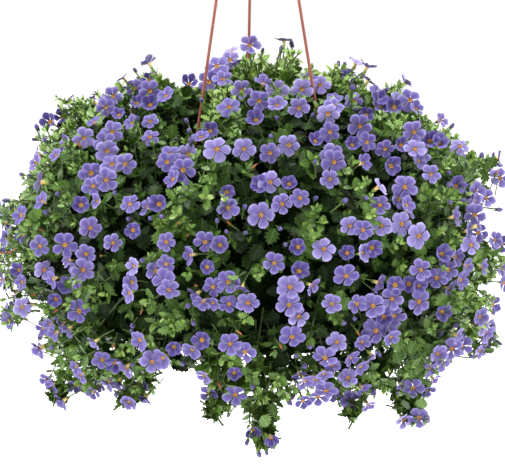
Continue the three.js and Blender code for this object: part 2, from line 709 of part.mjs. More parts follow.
// A leafy tip on a stalk that hangs from the foot of a skirt group
function growShoot(group, shoot) {
  const centre = polar(shoot.azimuth, shoot.radius, shoot.z);
  const foot = ballPoint(shoot.azimuth, SHOOT_FOOT_ELEVATION, SHOOT_FOOT_SCALE);
  const down = centre.clone().sub(foot).normalize();
  const facing = down.add(polar(shoot.azimuth, 1, 0)).normalize();
  const plan = { radius: SHOOT_TIP_RADIUS, tilt: SHOOT_TILT, rootLimit: SHOOT_ROOT_LIMIT };
  for (let tries = 0; tries < SHOOT_TRIES; tries += 1) {
    const tip = tryTip(group, { ...plan, centre, facing, foot });
    if (tip) {
      addTip(group, tip);
      return;
    }
  }
}

// Rows of groups round the ball
const groups = ROWS.flatMap((row) => Array.from({ length: row.count }, (_, i) => {
  const width = 360 / row.count;
  const azimuth = row.azimuth + i * width;
  const name = `${row.name}_${i + 1}`;
  return { row, name, azimuth, azimuthFrom: azimuth - width / 2, azimuthTo: azimuth + width / 2, pegs: [] };
}));

// Each stalk crosses the rim at its own azimuth, evenly spaced and clear of the rods
const rimGroups = groups.filter((group) => group.row.name !== 'cap');
const slotWidth = 360 / rimGroups.length;
const slotStart = FIRST_ARM_AZIMUTH + slotWidth / 2;
rimGroups.sort((a, b) => wrapped(a.azimuth - slotStart) - wrapped(b.azimuth - slotStart));
rimGroups.forEach((group, i) => {
  group.stalkAzimuth = slotStart + i * slotWidth;
});
for (const group of groups) group.stalkAzimuth ??= group.azimuth;

const pot = makePot();
const soil = makeSoil(groups);
const hook = makeHook();
const arms = armAzimuths.map(makeArm);
arms.forEach((arm) => place(arm, 'hanger'));
place(pot, 'pot');

for (const group of groups) {
  group.core = makeCore(group);
  group.green = [group.core, makeStalk(group)];
  group.green.forEach((solid) => place(solid, group.name));
}

for (const group of groups) {
  group.drift = growDrift(group, DRIFT_LENGTHS[group.row.name]);
  group.drift.forEach((flower) => place(flowerRoom(flower), `${group.name}_drift`));
}

// Middles of the flowers and of the tips placed so far
const heads = groups.flatMap((group) => group.drift.map((flower) => flower.centre));

groups.forEach(growPegs);
for (const shoot of HANGING_SHOOTS) {
  const owner = groups.find((group) => group.row.name === 'skirt'
    && wrapped(shoot.azimuth - group.azimuthFrom) < 360 / group.row.count);
  growShoot(owner, shoot);
}
groups.forEach(growTips);

const model = new THREE.Group();

function addPiece(name, solid, look) {
  const mesh = new THREE.Mesh(geometryFrom(solid), new THREE.MeshStandardMaterial(look));
  mesh.name = name;
  model.add(mesh);
}

addPiece('hanger_hook', hook, PLASTIC);
arms.forEach((arm, i) => addPiece(`hanger_arm_${i + 1}`, arm, PLASTIC));
addPiece('pot', pot, PLASTIC);
addPiece('soil', soil, COMPOST);
for (const group of groups) {
  addPiece(`leafy_stem_${group.name}`, joined([...group.green, ...group.pegs]), LEAF_GREEN);
  addPiece(`bloom_spray_${group.name}`, joined(group.drift.map(makeFlower)), PETAL_VIOLET);
}

export default model;
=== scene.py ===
import math

import bpy
import numpy as np
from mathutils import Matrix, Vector
from mathutils.geometry import delaunay_2d_cdt


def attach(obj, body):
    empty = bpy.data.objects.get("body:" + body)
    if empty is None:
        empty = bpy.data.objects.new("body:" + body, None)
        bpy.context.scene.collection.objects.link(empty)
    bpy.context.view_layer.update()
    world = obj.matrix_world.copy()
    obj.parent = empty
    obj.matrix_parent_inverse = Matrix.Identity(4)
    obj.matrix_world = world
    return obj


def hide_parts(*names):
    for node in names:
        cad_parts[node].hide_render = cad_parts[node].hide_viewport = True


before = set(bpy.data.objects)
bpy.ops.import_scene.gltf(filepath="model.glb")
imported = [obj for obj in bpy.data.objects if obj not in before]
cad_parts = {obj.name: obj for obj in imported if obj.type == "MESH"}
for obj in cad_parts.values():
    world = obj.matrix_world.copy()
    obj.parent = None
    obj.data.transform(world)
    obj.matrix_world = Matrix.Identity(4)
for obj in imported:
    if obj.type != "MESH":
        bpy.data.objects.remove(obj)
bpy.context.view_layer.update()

rng = np.random.default_rng(41)
MM = 0.001
UP = np.array([0.0, 0.0, 1.0])

# The ball that the foliage fills, as in the CAD model
BALL_CENTRE = np.array([0.0, 0.0, -468.0]) * MM
BALL_HALF_WIDTH = 214 * MM
BALL_RISE = 138 * MM
BALL_FALL = 112 * MM
CROWN_POWER = 2.4
SKIRT_POWER = 2.8
SWELLS = [  # azimuth, elevation, spread in degrees, share of the radius
    (231, 52, 17, -0.13),
    (335, 55, 14, -0.07),
    (90, 62, 13, 0.05),
    (207, -28, 16, 0.07),
    (248, -30, 11, -0.09),
    (318, -30, 14, 0.05),
    (160, 5, 20, 0.03),
    (40, 10, 18, -0.03),
    (128, -24, 16, -0.05),
    (65, -26, 18, 0.04),
]
ROWS = [  # name, groups, lowest and highest elevation, first azimuth
    ("cap", 3, 46, 90, 156.2),
    ("upper", 6, 19, 46, 0),
    ("middle", 9, -6, 19, 12),
    ("skirt", 9, -40, -6, 32),
]
SHOOTS = [  # azimuth, distance from the axis and height of a hanging shoot's end
    (273, 165, -588), (320, 170, -593), (298, 166, -579), (232, 165, -568),
    (209.5, 185, -580), (258, 158, -568), (347, 188, -562), (22, 176, -572),
    (62, 170, -584), (101, 168, -576), (141, 174, -588), (178, 186, -570),
]

# The stretches of the two front rods that show bare, in the photograph's frame
BARE_RODS = [((217.5, 0), (198.4, 131)), ((298.2, 0), (318.3, 101))]
OUTLINE = [  # how far the leaves reach, across and down in the photograph's frame
    (207, 76), (230, 64), (250, 62), (262, 54), (274, 60), (290, 56), (300, 60), (312, 68), (330, 70),
    (350, 66), (362, 72), (368, 84), (380, 90), (395, 84), (402, 84), (412, 92), (420, 106), (440, 124),
    (455, 133), (463, 150), (480, 157), (500, 157), (520, 160), (520, 178), (492, 182), (478, 180),
    (468, 188), (468, 198), (488, 200), (488, 206), (470, 212), (464, 222), (470, 236), (482, 244),
    (503, 252), (520, 262), (520, 272), (498, 280), (480, 278), (463, 278), (462, 286), (480, 292),
    (486, 302), (484, 312), (494, 326), (500, 342), (494, 352), (482, 346), (470, 342), (462, 332),
    (456, 338), (452, 355), (440, 366), (432, 374), (430, 396), (430, 412), (420, 418), (402, 412),
    (396, 400), (380, 390), (372, 406), (352, 409), (345, 398), (325, 401), (300, 400), (280, 398),
    (278, 420), (274, 440), (266, 450), (256, 448), (246, 438), (246, 404), (228, 409), (206, 404),
    (199, 366), (192, 360), (184, 362), (178, 368), (168, 370), (158, 372), (150, 378), (148, 392),
    (144, 400), (122, 398), (118, 388), (98, 386), (90, 394), (72, 384), (62, 394), (52, 388), (50, 370),
    (60, 362), (60, 350), (50, 356), (43, 346), (43, 332), (50, 322), (52, 313), (34, 304), (20, 314),
    (8, 326), (-15, 324), (-15, 207), (5, 203), (20, 192), (25, 175), (33, 155), (42, 135), (48, 122),
    (58, 112), (68, 97), (90, 93), (105, 91), (122, 82), (140, 72), (158, 75), (170, 82), (190, 84),
]
HOLLOWS = [  # dark places between the shoots, where the leaves are drawn in, thinned and darkened with painted shade: across and down in the photograph's frame, spread and depth
    (143, 107, 8, 0.8), (150, 172, 15, 1.4), (128, 176, 11, 1.2), (168, 158, 12, 1.4), (118, 154, 9, 1.0),
    (182, 92, 12, 1.2), (178, 122, 12, 1.0), (274, 112, 11, 1.1), (262, 130, 12, 1.4), (346, 124, 14, 1.4),
    (287, 168, 14, 1.4), (250, 100, 8, 0.9), (302, 112, 10, 1.0), (314, 172, 12, 1.2), (242, 178, 11, 1.2),
    (250, 198, 12, 1.4), (380, 152, 13, 1.1), (408, 164, 13, 1.4), (402, 180, 10, 1.0), (206, 215, 11, 1.1),
    (180, 246, 9, 0.8), (246, 248, 13, 1.4), (287, 244, 12, 1.2), (262, 303, 12, 1.2), (275, 338, 12, 1.0),
    (246, 342, 10, 0.8), (316, 322, 14, 1.3), (312, 294, 11, 1.3), (346, 328, 12, 1.2), (322, 272, 11, 1.1),
    (292, 362, 9, 0.6), (178, 160, 10, 1.3), (272, 306, 11, 1.3), (358, 112, 10, 1.1), (420, 320, 11, 1.1),
    (490, 176, 9, 0.8), (306, 108, 10, 1.0), (340, 170, 9, 0.9), (338, 252, 11, 1.1), (381, 252, 11, 0.9),
    (421, 218, 14, 1.4), (404, 313, 13, 1.4), (46, 290, 12, 1.1), (36, 308, 9, 1.0), (94, 325, 11, 1.0),
    (348, 206, 10, 0.7), (116, 304, 12, 1.1), (126, 262, 12, 1.3), (128, 278, 12, 1.1), (108, 282, 10, 0.9),
    (330, 212, 9, 0.4), (108, 214, 14, 0.5), (125, 134, 10, 0.6), (398, 188, 11, 1.0), (168, 350, 9, 0.8),
    (208, 290, 9, 0.7), (75, 238, 12, 1.2), (58, 256, 13, 1.4), (318, 118, 11, 0.9), (364, 340, 10, 0.9),
    (292, 394, 10, 0.8), (292, 212, 11, 1.3), (374, 272, 10, 1.2), (162, 284, 10, 1.1), (132, 316, 11, 1.1),
    (202, 322, 13, 1.2), (322, 350, 10, 0.7), (334, 382, 11, 1.1), (126, 98, 11, 1.1), (366, 158, 10, 1.0),
    (128, 238, 10, 0.9), (182, 306, 12, 0.8), (182, 282, 10, 0.9), (272, 374, 9, 0.5), (88, 262, 10, 0.6),
    (400, 260, 9, 0.6), (250, 160, 10, 0.7), (334, 172, 9, 0.8), (352, 248, 9, 0.8), (194, 350, 9, 0.7),
    (398, 408, 10, 1.1), (440, 352, 8, 0.6), (436, 264, 11, 0.9), (168, 360, 11, 1.3), (344, 206, 10, 0.8),
    (134, 204, 9, 0.7), (278, 294, 11, 0.9), (134, 234, 10, 0.8), (246, 226, 10, 1.0), (370, 366, 11, 0.9),
    (394, 364, 10, 0.9), (34, 312, 9, 0.8), (104, 318, 10, 0.7), (276, 156, 10, 0.8), (212, 130, 9, 0.8),
    (302, 394, 11, 1.2), (114, 344, 10, 0.8), (148, 304, 8, 0.7),
]
DEEPEST_HOLLOW = 1.4
PULL_STEPS = 14
PULL_STEP = 0.012

# How far the ball's surface has to face the camera to take its flowers from the lists below, near its top
# and foot, and in between
HIDDEN_FACING = -0.15
SIDE_FACING = 0.12

# Places past the ball's edge, in mm: how far behind its middle they stand at most, how near a hanging shoot
# they have to be to stand on it, and how far before it
RIM_DEPTH = 25
SHOOT_WIDTH = 34
SHOOT_FRONT = 9
SHOOT_START = (-33.5, 0.72)  # elevation and share of the radius
SHOOT_ELBOW = (-34, 0.97)

# Where the open flowers, young cups, flowers from the side and buds of the front stand, across and down
# in the photograph's frame of 505 by 470
OPEN_PLACES = [
    (135, 88), (150, 91), (113, 96), (106, 107), (112, 132), (150, 121), (150, 137), (84, 138), (105, 143),
    (107, 151), (112, 164), (125, 164), (91, 173), (250, 45), (217, 66), (230, 60), (209, 82), (223, 79),
    (242, 90), (229, 107), (259, 101), (277, 91), (302, 89), (320, 85), (299, 108), (328, 114), (330, 132),
    (289, 145), (270, 153), (244, 149), (217, 149), (188, 154), (170, 154), (332, 155), (354, 101),
    (334, 106), (410, 100), (360, 126), (367, 142), (385, 149), (414, 132), (415, 149), (422, 156),
    (460, 146), (334, 162), (167, 162), (183, 170), (270, 182), (300, 198), (282, 204), (261, 215),
    (228, 208), (166, 242), (205, 242), (324, 249), (274, 263), (156, 271), (166, 264), (169, 290),
    (290, 287), (228, 282), (213, 287), (106, 180), (93, 186), (130, 204), (90, 228), (40, 246), (65, 245),
    (113, 243), (86, 254), (44, 270), (83, 270), (164, 282), (431, 174), (500, 178), (405, 187), (475, 215),
    (380, 205), (402, 224), (382, 226), (350, 226), (363, 230), (419, 236), (478, 233), (471, 245),
    (502, 244), (346, 276), (421, 270), (448, 270), (437, 278), (330, 179), (22, 307), (79, 311),
    (102, 360), (152, 362), (229, 304), (248, 303), (289, 305), (299, 317), (292, 337), (332, 304),
    (230, 344), (245, 352), (209, 394), (235, 395), (325, 358), (326, 391), (337, 342), (357, 304),
    (373, 306), (392, 299), (419, 302), (394, 316), (376, 331), (452, 349), (462, 346), (442, 362),
    (413, 388), (348, 378), (352, 401), (419, 418),
]
CUP_PLACES = [
    (149, 80), (137, 103), (150, 105), (119, 115), (50, 122), (62, 117), (234, 70), (189, 84), (256, 120),
    (315, 141), (210, 131), (379, 101), (394, 107), (366, 115), (352, 145), (401, 145), (430, 141),
    (439, 143), (391, 166), (227, 192), (260, 185), (289, 184), (159, 204), (220, 245), (207, 267),
    (298, 247), (81, 205), (133, 230), (23, 235), (2, 253), (19, 270), (68, 286), (456, 186), (442, 254),
    (347, 253), (372, 248), (395, 285), (409, 284), (419, 286), (56, 299), (115, 363), (75, 385),
    (202, 340), (174, 347), (234, 373), (253, 430), (271, 438), (442, 312), (384, 317), (299, 271),
]
SIDE_PLACES = [
    (149, 63), (123, 78), (166, 96), (69, 100), (94, 122), (132, 123), (65, 144), (37, 154), (36, 163),
    (56, 155), (232, 51), (284, 41), (237, 63), (263, 83), (277, 105), (309, 79), (334, 99), (201, 137),
    (356, 63), (367, 67), (348, 77), (368, 81), (376, 93), (381, 107), (405, 83), (397, 99), (416, 109),
    (441, 120), (498, 158), (173, 179), (190, 255), (42, 201), (97, 201), (147, 207), (41, 182), (21, 215),
    (6, 238), (22, 282), (74, 270), (68, 260), (134, 266), (132, 282), (2, 280), (363, 163), (419, 161),
    (379, 187), (399, 199), (407, 205), (476, 192), (475, 201), (454, 217), (408, 211), (477, 226),
    (468, 231), (495, 240), (363, 253), (456, 257), (467, 266), (482, 267), (501, 268), (378, 283),
    (461, 280), (449, 289), (486, 198), (504, 283), (9, 309), (9, 320), (61, 324), (68, 329), (50, 324),
    (55, 333), (43, 328), (40, 349), (129, 293), (95, 342), (126, 368), (163, 358), (76, 367), (81, 375),
    (47, 380), (52, 386), (63, 401), (100, 385), (107, 383), (118, 382), (94, 392), (140, 383), (129, 402),
    (146, 398), (140, 340), (197, 294), (213, 303), (242, 287), (203, 302), (312, 286), (192, 350),
    (204, 376), (324, 374), (315, 380), (318, 397), (299, 375), (303, 401), (493, 305), (480, 317),
    (481, 327), (488, 326), (490, 338), (480, 351), (457, 335), (438, 354), (430, 369), (433, 379),
    (428, 390), (402, 384), (362, 387), (368, 405), (351, 358), (361, 367), (332, 365), (333, 395),
    (362, 342), (372, 355), (389, 329), (391, 337), (305, 381), (347, 400), (404, 420), (53, 279),
]
BUD_PLACES = [
    (204, 102), (257, 450), (266, 449), (262, 52), (292, 47), (281, 52), (38, 131), (136, 72), (47, 143),
    (37, 140), (311, 118), (278, 120), (189, 134), (271, 139), (188, 124), (338, 66), (344, 66), (385, 93),
    (450, 129), (279, 228), (245, 233), (244, 209), (217, 222), (191, 145), (60, 196), (115, 195),
    (10, 201), (24, 175), (32, 177), (145, 259), (131, 220), (152, 218), (164, 217), (49, 214), (227, 233),
    (286, 244), (315, 165), (315, 199), (447, 173), (342, 203), (364, 199), (495, 209), (466, 203),
    (460, 200), (449, 203), (58, 316), (74, 333), (55, 346), (134, 363), (119, 392), (132, 330), (133, 324),
    (190, 306), (193, 320), (309, 346), (297, 355), (303, 364), (183, 361), (293, 394), (252, 384),
    (354, 317), (378, 351), (372, 289), (452, 324), (497, 341), (373, 388), (343, 322), (469, 354),
    (230, 413), (248, 439), (287, 399),
]

# Leafy tips and single leaves that stand out in front
TIP_PLACES = [
    (50, 376), (58, 380), (68, 386), (80, 384), (90, 384), (100, 378), (108, 386), (130, 388), (140, 392),
    (42, 328), (50, 334), (44, 338), (54, 348), (340, 404), (356, 406), (366, 400), (330, 398), (286, 392),
    (296, 388), (308, 392), (406, 396), (416, 398), (424, 396), (400, 410), (412, 412), (488, 318),
    (478, 330), (484, 340), (496, 334), (222, 400), (234, 404), (212, 398), (226, 392), (268, 424),
    (256, 440), (264, 436), (448, 358), (440, 362), (430, 374), (4, 310), (10, 318), (16, 316), (286, 72),
    (296, 74), (304, 78), (222, 92), (228, 86), (336, 66), (352, 72), (94, 298), (104, 294), (88, 306),
    (376, 188), (366, 180), (380, 196), (426, 190), (436, 196), (292, 196), (312, 214), (322, 222),
    (268, 272), (258, 276), (478, 282), (468, 286), (246, 320), (396, 334), (66, 366), (74, 362),
    (400, 268), (408, 276), (394, 282), (404, 290), (400, 242), (236, 278), (244, 284), (206, 196),
    (216, 192), (224, 198), (404, 98), (412, 104), (398, 106), (284, 60), (278, 66), (270, 72), (172, 330),
    (180, 322), (376, 316), (368, 308), (484, 324), (262, 402), (254, 408), (110, 372), (116, 378),
    (62, 150), (70, 158), (56, 160), (74, 166), (82, 110), (96, 118), (90, 104), (58, 98), (198, 150),
    (192, 158), (352, 160), (360, 172), (346, 170), (166, 224), (176, 214), (178, 266), (186, 274),
    (242, 292), (312, 234), (316, 244), (308, 226), (468, 194), (458, 200), (460, 238), (452, 246),
    (472, 156), (480, 274), (476, 318), (70, 370), (64, 378), (76, 380), (118, 384), (126, 386), (142, 378),
    (258, 400), (266, 408), (380, 386), (372, 380), (414, 378), (408, 386), (293, 52), (340, 72), (348, 80),
    (330, 80), (24, 256), (14, 262), (30, 250), (20, 232), (78, 292), (72, 280), (146, 302), (244, 60),
    (268, 66), (318, 74), (213, 92), (219, 104), (211, 113), (168, 206), (175, 192), (160, 222), (186, 176),
    (370, 196), (372, 214), (366, 232), (346, 300), (232, 284), (196, 256), (231, 362), (150, 345),
    (430, 262), (360, 186), (444, 268), (40, 210), (30, 222), (36, 236), (26, 192), (48, 178), (38, 168),
    (60, 108), (70, 116), (62, 290), (68, 304), (60, 340), (78, 358), (92, 372), (120, 352), (128, 372),
    (142, 362), (272, 70), (350, 76), (336, 78), (362, 84), (246, 66), (256, 70), (478, 258), (470, 270),
    (482, 310), (458, 296), (450, 316), (462, 352), (376, 374), (384, 388), (412, 360), (400, 372),
    (262, 420), (256, 404), (270, 400), (290, 390), (297, 399), (306, 395), (350, 408), (361, 408),
    (229, 408), (396, 396), (457, 137), (466, 144), (492, 299), (490, 311), (3, 300), (5, 316), (145, 76),
    (106, 96), (84, 100), (200, 260), (262, 56), (288, 50), (299, 53), (312, 68), (330, 72), (344, 67),
    (386, 90), (393, 87), (402, 84), (38, 137), (46, 128), (72, 100), (96, 93), (22, 178), (10, 206),
    (6, 323), (42, 345), (52, 354), (470, 164), (482, 162), (492, 160), (488, 252), (496, 262), (474, 291),
    (480, 302), (470, 312), (468, 325), (476, 337), (490, 334), (497, 346), (466, 300), (58, 372),
    (66, 390), (88, 388), (127, 393), (137, 396), (260, 445), (247, 58), (254, 56), (249, 405), (247, 413),
    (249, 424), (485, 297), (488, 304), (46, 308), (44, 316), (290, 400), (311, 400), (413, 424),
    (425, 420), (300, 394), (286, 397), (374, 394), (362, 402), (222, 404), (210, 400), (428, 388),
    (436, 372), (120, 84), (160, 76), (446, 132),
]
LEAF_PLACES = [
    (412, 348), (398, 358), (418, 370), (410, 378), (426, 372), (410, 392), (420, 388), (398, 344),
    (246, 404), (280, 396), (62, 374), (84, 372), (108, 366), (134, 392), (128, 380), (480, 330),
    (470, 332), (253, 409), (273, 411), (265, 421), (405, 405), (422, 404), (404, 352), (416, 350),
    (424, 362), (409, 368), (420, 377), (404, 381), (429, 350), (456, 172), (484, 175), (492, 163),
    (472, 178), (430, 196), (442, 300), (472, 340), (456, 308), (466, 322), (60, 362), (72, 352), (68, 376),
    (6, 318), (176, 100), (182, 112), (172, 132), (186, 92), (96, 296), (104, 310), (92, 318), (150, 180),
    (284, 166), (296, 172), (244, 188), (376, 210), (368, 216), (382, 214), (162, 226), (168, 236),
    (158, 240), (272, 236), (310, 254), (318, 258), (340, 298), (346, 304), (236, 290), (228, 292),
    (244, 296), (414, 246), (420, 252), (426, 244), (70, 286), (76, 294), (288, 130), (282, 136),
    (334, 146), (30, 222), (36, 214), (24, 230), (484, 328), (478, 334),
]

# The palest of the open flowers, and the withered ones
PALE_PLACES = [
    (217, 149), (402, 224), (419, 236), (324, 249), (471, 245), (460, 146), (415, 149), (422, 156),
    (277, 91), (328, 114), (302, 89), (230, 60), (382, 226), (350, 226), (337, 342), (299, 317), (44, 270),
    (107, 151),
]
SPENT_PLACES = [
    (80, 102), (81, 148), (132, 116), (44, 231), (101, 256), (13, 252), (252, 169), (230, 224), (180, 223),
    (188, 235), (59, 309), (36, 294), (114, 344), (237, 331), (280, 345), (218, 382), (195, 286),
    (357, 331), (142, 309),
]

# Hook, rods, pot and compost, in mm as in the CAD model
ROD_AZIMUTHS = [96.2, 216.2, 336.2]
ROD_RADIUS = 1.3
ROD_MEET_Z = -50
ROD_TOP_Z = -65
ROD_BEND_RISE = 5
ROD_FOOT_RADIUS = 2.6
ROD_FOOT_HEIGHT = 2
EYE_RADIUS = 62.4
EYE_HEIGHT = 4
EYE_DROP = 2
HOOK_WIRE = 4.4
HOOK_INNER_RADIUS = 14
HOOK_ARC = range(-45, 216, 10)
COLLAR_TOP_Z = -43
COLLAR_SHOULDER_Z = -66.4
COLLAR_BOTTOM_Z = -75
COLLAR_TOP_RADIUS = 4.6
COLLAR_BOTTOM_RADIUS = 8.6
POT_TOP_Z = -398
POT_BASE_Z = -518
POT_RIM_RADIUS = 76
POT_RIM_DEPTH = 9
POT_MOUTH_RADIUS = 72.5
POT_BASE_RADIUS = 52
POT_WALL = 2
DRAIN_HOLE_RADIUS = 4
DRAIN_RING_RADIUS = 28
DRAIN_SIDES = 20
SOIL_TOP_Z = -413
SOIL_SLACK = 0.6
SEAT_GAP = 0.3
ON_AXIS = 0.01

# The camera of the photograph
PHOTO_SIZE = (505, 470)
MIDDLE = Vector((-0.002, 0.0, -0.466))
CAMERA_TILT = math.radians(14)
CAMERA_DISTANCE = 1.6
SENSOR = 36
LENS = 134.3
FOCUS = LENS / SENSOR * PHOTO_SIZE[0]
AHEAD = np.array([0.0, math.cos(CAMERA_TILT), -math.sin(CAMERA_TILT)])
OVER = np.array([0.0, math.sin(CAMERA_TILT), math.cos(CAMERA_TILT)])
RIGHT = np.array([1.0, 0.0, 0.0])
BEFORE_RODS = CAMERA_DISTANCE + 0.01
FRONT_HALF = CAMERA_DISTANCE + 0.02


def direction(azimuth, elevation):
    a, e = np.radians(azimuth), np.radians(elevation)
    return np.stack([np.cos(e) * np.cos(a), np.cos(e) * np.sin(a), np.sin(e) + 0 * a], axis=-1)


def ball_point(azimuth, elevation, scale=1.0):
    azimuth, elevation = np.broadcast_arrays(np.asarray(azimuth, float), np.asarray(elevation, float))
    way = direction(azimuth, elevation)
    rise = np.abs(way[..., 2])
    across = np.sqrt(np.maximum(1 - rise**2, 0))
    top = elevation > 0
    power = np.where(top, CROWN_POWER, SKIRT_POWER)
    reach = np.where(top, BALL_RISE, BALL_FALL)
    radius = ((across / BALL_HALF_WIDTH) ** power + (rise / reach) ** power) ** (-1 / power)
    swell = 0
    for a, e, spread, share in SWELLS:
        angle = np.degrees(np.arccos(np.clip(way @ direction(a, e), -1, 1)))
        swell = swell + share * np.exp(-((angle / spread) ** 2))
    return way * (radius * (1 + swell) * scale)[..., None] + BALL_CENTRE


def unit(v):
    return v / np.maximum(np.linalg.norm(v, axis=-1, keepdims=True), 1e-9)


def ball_normal(azimuth, elevation):
    step = 1.5
    along = ball_point(azimuth + step, elevation) - ball_point(azimuth - step, elevation)
    rise = ball_point(azimuth, elevation + step) - ball_point(azimuth, elevation - step)
    return unit(np.cross(along, rise))


def angles_of(points):
    offset = points - BALL_CENTRE
    azimuth = np.degrees(np.arctan2(offset[..., 1], offset[..., 0]))
    elevation = np.degrees(np.arcsin(offset[..., 2] / np.linalg.norm(offset, axis=-1)))
    return azimuth, elevation


def camera_ray(across, down):
    """Start and direction of the camera's ray through a place in the photograph's frame."""
    width, height = PHOTO_SIZE
    way = unit(AHEAD + (across - width / 2) / FOCUS * RIGHT - (down - height / 2) / FOCUS * OVER)
    return np.array(MIDDLE) - CAMERA_DISTANCE * AHEAD, way


CAMERA_PLACE, SIGHT_LINE = camera_ray(PHOTO_SIZE[0] / 2, PHOTO_SIZE[1] / 2)


def to_camera(point):
    return unit(CAMERA_PLACE - point)


def plain_scale(points):
    """How far out points lie, as a share of the ball's reach in their direction."""
    azimuth, elevation = angles_of(points)
    rim = np.linalg.norm(ball_point(azimuth, elevation) - BALL_CENTRE, axis=-1)
    return np.linalg.norm(points - BALL_CENTRE, axis=-1) / rim


def photo_place(points):
    """Across, down and depth of points in the photograph's frame."""
    width, height = PHOTO_SIZE
    offset = np.asarray(points) - CAMERA_PLACE
    depth = offset @ SIGHT_LINE
    return width / 2 + FOCUS * offset[..., 0] / depth, height / 2 - FOCUS * (offset @ OVER) / depth, depth


def hides_rod(point, margin):
    """Whether something at a point would stand before a part of a rod that the photograph shows."""
    across, down, depth = photo_place(point)
    for (x0, y0), (x1, y1) in BARE_RODS:
        if y0 < down < y1 + 2 and depth < BEFORE_RODS:
            line = x0 + (x1 - x0) * (down - y0) / (y1 - y0)
            if abs(across - line) < margin:
                return True
    return False


def in_outline(point, margin=5.0):
    """Whether a point, moved out by a few pixels from the picture's middle, lies in the plant's outline."""
    across, down, _ = photo_place(point)
    middle = np.array(PHOTO_SIZE) / 2
    place = np.array([across, down])
    x, y = place + margin * unit(place - middle)
    inside = False
    for (x0, y0), (x1, y1) in zip(OUTLINE, OUTLINE[1:] + OUTLINE[:1]):
        if (y0 > y) != (y1 > y) and x < x0 + (x1 - x0) * (y - y0) / (y1 - y0):
            inside = not inside
    return inside


def hollow_share(point):
    """How deep in a dark hollow of the front a point lies, from 0 to DEEPEST_HOLLOW."""
    across, down, depth = photo_place(point)
    if depth > FRONT_HALF:
        return 0.0
    shares = (d * math.exp(-((across - x) ** 2 + (down - y) ** 2) / (2 * r * r)) for x, y, r, d in HOLLOWS)
    return min(DEEPEST_HOLLOW, sum(shares))


def pulled_in(azimuth, elevation, scale, margin=7.0):
    """A place on the ball, drawn in where the photograph's outline is drawn in."""
    for step in range(PULL_STEPS):
        place = ball_point(azimuth, elevation, scale - PULL_STEP * step)
        if in_outline(place, margin):
            break
    return place


def bent(start, elbow, end, t):
    """A point on the curve that leaves start towards elbow and comes from there to end."""
    return (1 - t) ** 2 * start + 2 * t * (1 - t) * elbow + t * t * end


def shoot_line(azimuth, radius, height, steps):
    """Points along a hanging shoot, from inside the ball to its end."""
    out = direction(azimuth, 0.0)
    end = out * radius * MM + UP * height * MM
    start = ball_point(azimuth, *SHOOT_START)
    elbow = ball_point(azimuth, *SHOOT_ELBOW)
    return [bent(start, elbow, end, t) for t in steps]


SHOOT_POINTS = np.array([point for shoot in SHOOTS for point in shoot_line(*shoot, np.linspace(0.4, 1, 9))])


def nearest_shoot(points):
    """For each point, its distance from the nearest hanging shoot."""
    return np.linalg.norm(points[:, None] - SHOOT_POINTS, axis=2).min(axis=1)


def seen_spot(across, down, scale, aside):
    """The place on the foliage that the camera sees there. Past its edge it is the nearest shoot or edge."""
    start, way = camera_ray(across, down)
    points = start + way * np.linspace(CAMERA_DISTANCE - 0.30, CAMERA_DISTANCE + 0.25, 551)[:, None]
    scales = plain_scale(points)
    if scales.min() < scale:
        return points[np.argmax(scales < scale)]
    if down > PHOTO_SIZE[1] / 2:
        gaps = nearest_shoot(points)
        if gaps.min() < SHOOT_WIDTH * MM:
            return points[gaps.argmin()] - SHOOT_FRONT * MM * way
    return points[min(scales.argmin(), np.argmax(points[:, 1] > RIM_DEPTH * MM))] + aside * MM * way


# Materials

def new_material(name):
    material = bpy.data.materials.new(name)
    material.use_nodes = True
    tree = material.node_tree
    return material, tree, tree.nodes["Principled BSDF"]


def node(tree, kind, **values):
    made = tree.nodes.new(kind)
    for key, value in values.items():
        if hasattr(made, key):
            setattr(made, key, value)
        else:
            made.inputs[key].default_value = value
    return made


def attribute(tree, name):
    return node(tree, "ShaderNodeAttribute", attribute_name=name).outputs["Fac"]


def math_node(tree, operation, a, b=None):
    made = node(tree, "ShaderNodeMath", operation=operation)
    for socket, value in zip(made.inputs, (a, b)):
        if value is None:
            continue
        if isinstance(value, (int, float)):
            socket.default_value = value
        else:
            tree.links.new(value, socket)
    return made.outputs[0]


def ramp(tree, factor, stops):
    made = node(tree, "ShaderNodeValToRGB")
    elements = made.color_ramp.elements
    while len(elements) < len(stops):
        elements.new(0.5)
    for element, (place, colour) in zip(elements, stops):
        element.position = place
        element.color = (*colour, 1)
    tree.links.new(factor, made.inputs["Fac"])
    return made.outputs["Color"]


def grey_ramp(tree, factor, *stops):
    return ramp(tree, factor, [(place, (value,) * 3) for place, value in stops])


def mix(tree, factor, a, b, blend="MIX"):
    made = node(tree, "ShaderNodeMix", data_type="RGBA", blend_type=blend)
    for socket, value in ((made.inputs[0], factor), (made.inputs[6], a), (made.inputs[7], b)):
        if isinstance(value, (int, float)):
            socket.default_value = value
        elif isinstance(value, tuple):
            socket.default_value = (*value, 1)
        else:
            tree.links.new(value, socket)
    return made.outputs[2]


def noise(tree, scale, detail=3.0):
    coords = node(tree, "ShaderNodeTexCoord")
    made = node(tree, "ShaderNodeTexNoise")
    made.inputs["Scale"].default_value = scale
    made.inputs["Detail"].default_value = detail
    tree.links.new(coords.outputs["Object"], made.inputs["Vector"])
    return made.outputs["Fac"]


def bump(tree, shader, height, strength, distance):
    made = node(tree, "ShaderNodeBump")
    made.inputs["Strength"].default_value = strength
    made.inputs["Distance"].default_value = distance
    tree.links.new(height, made.inputs["Height"])
    tree.links.new(made.outputs["Normal"], shader.inputs["Normal"])


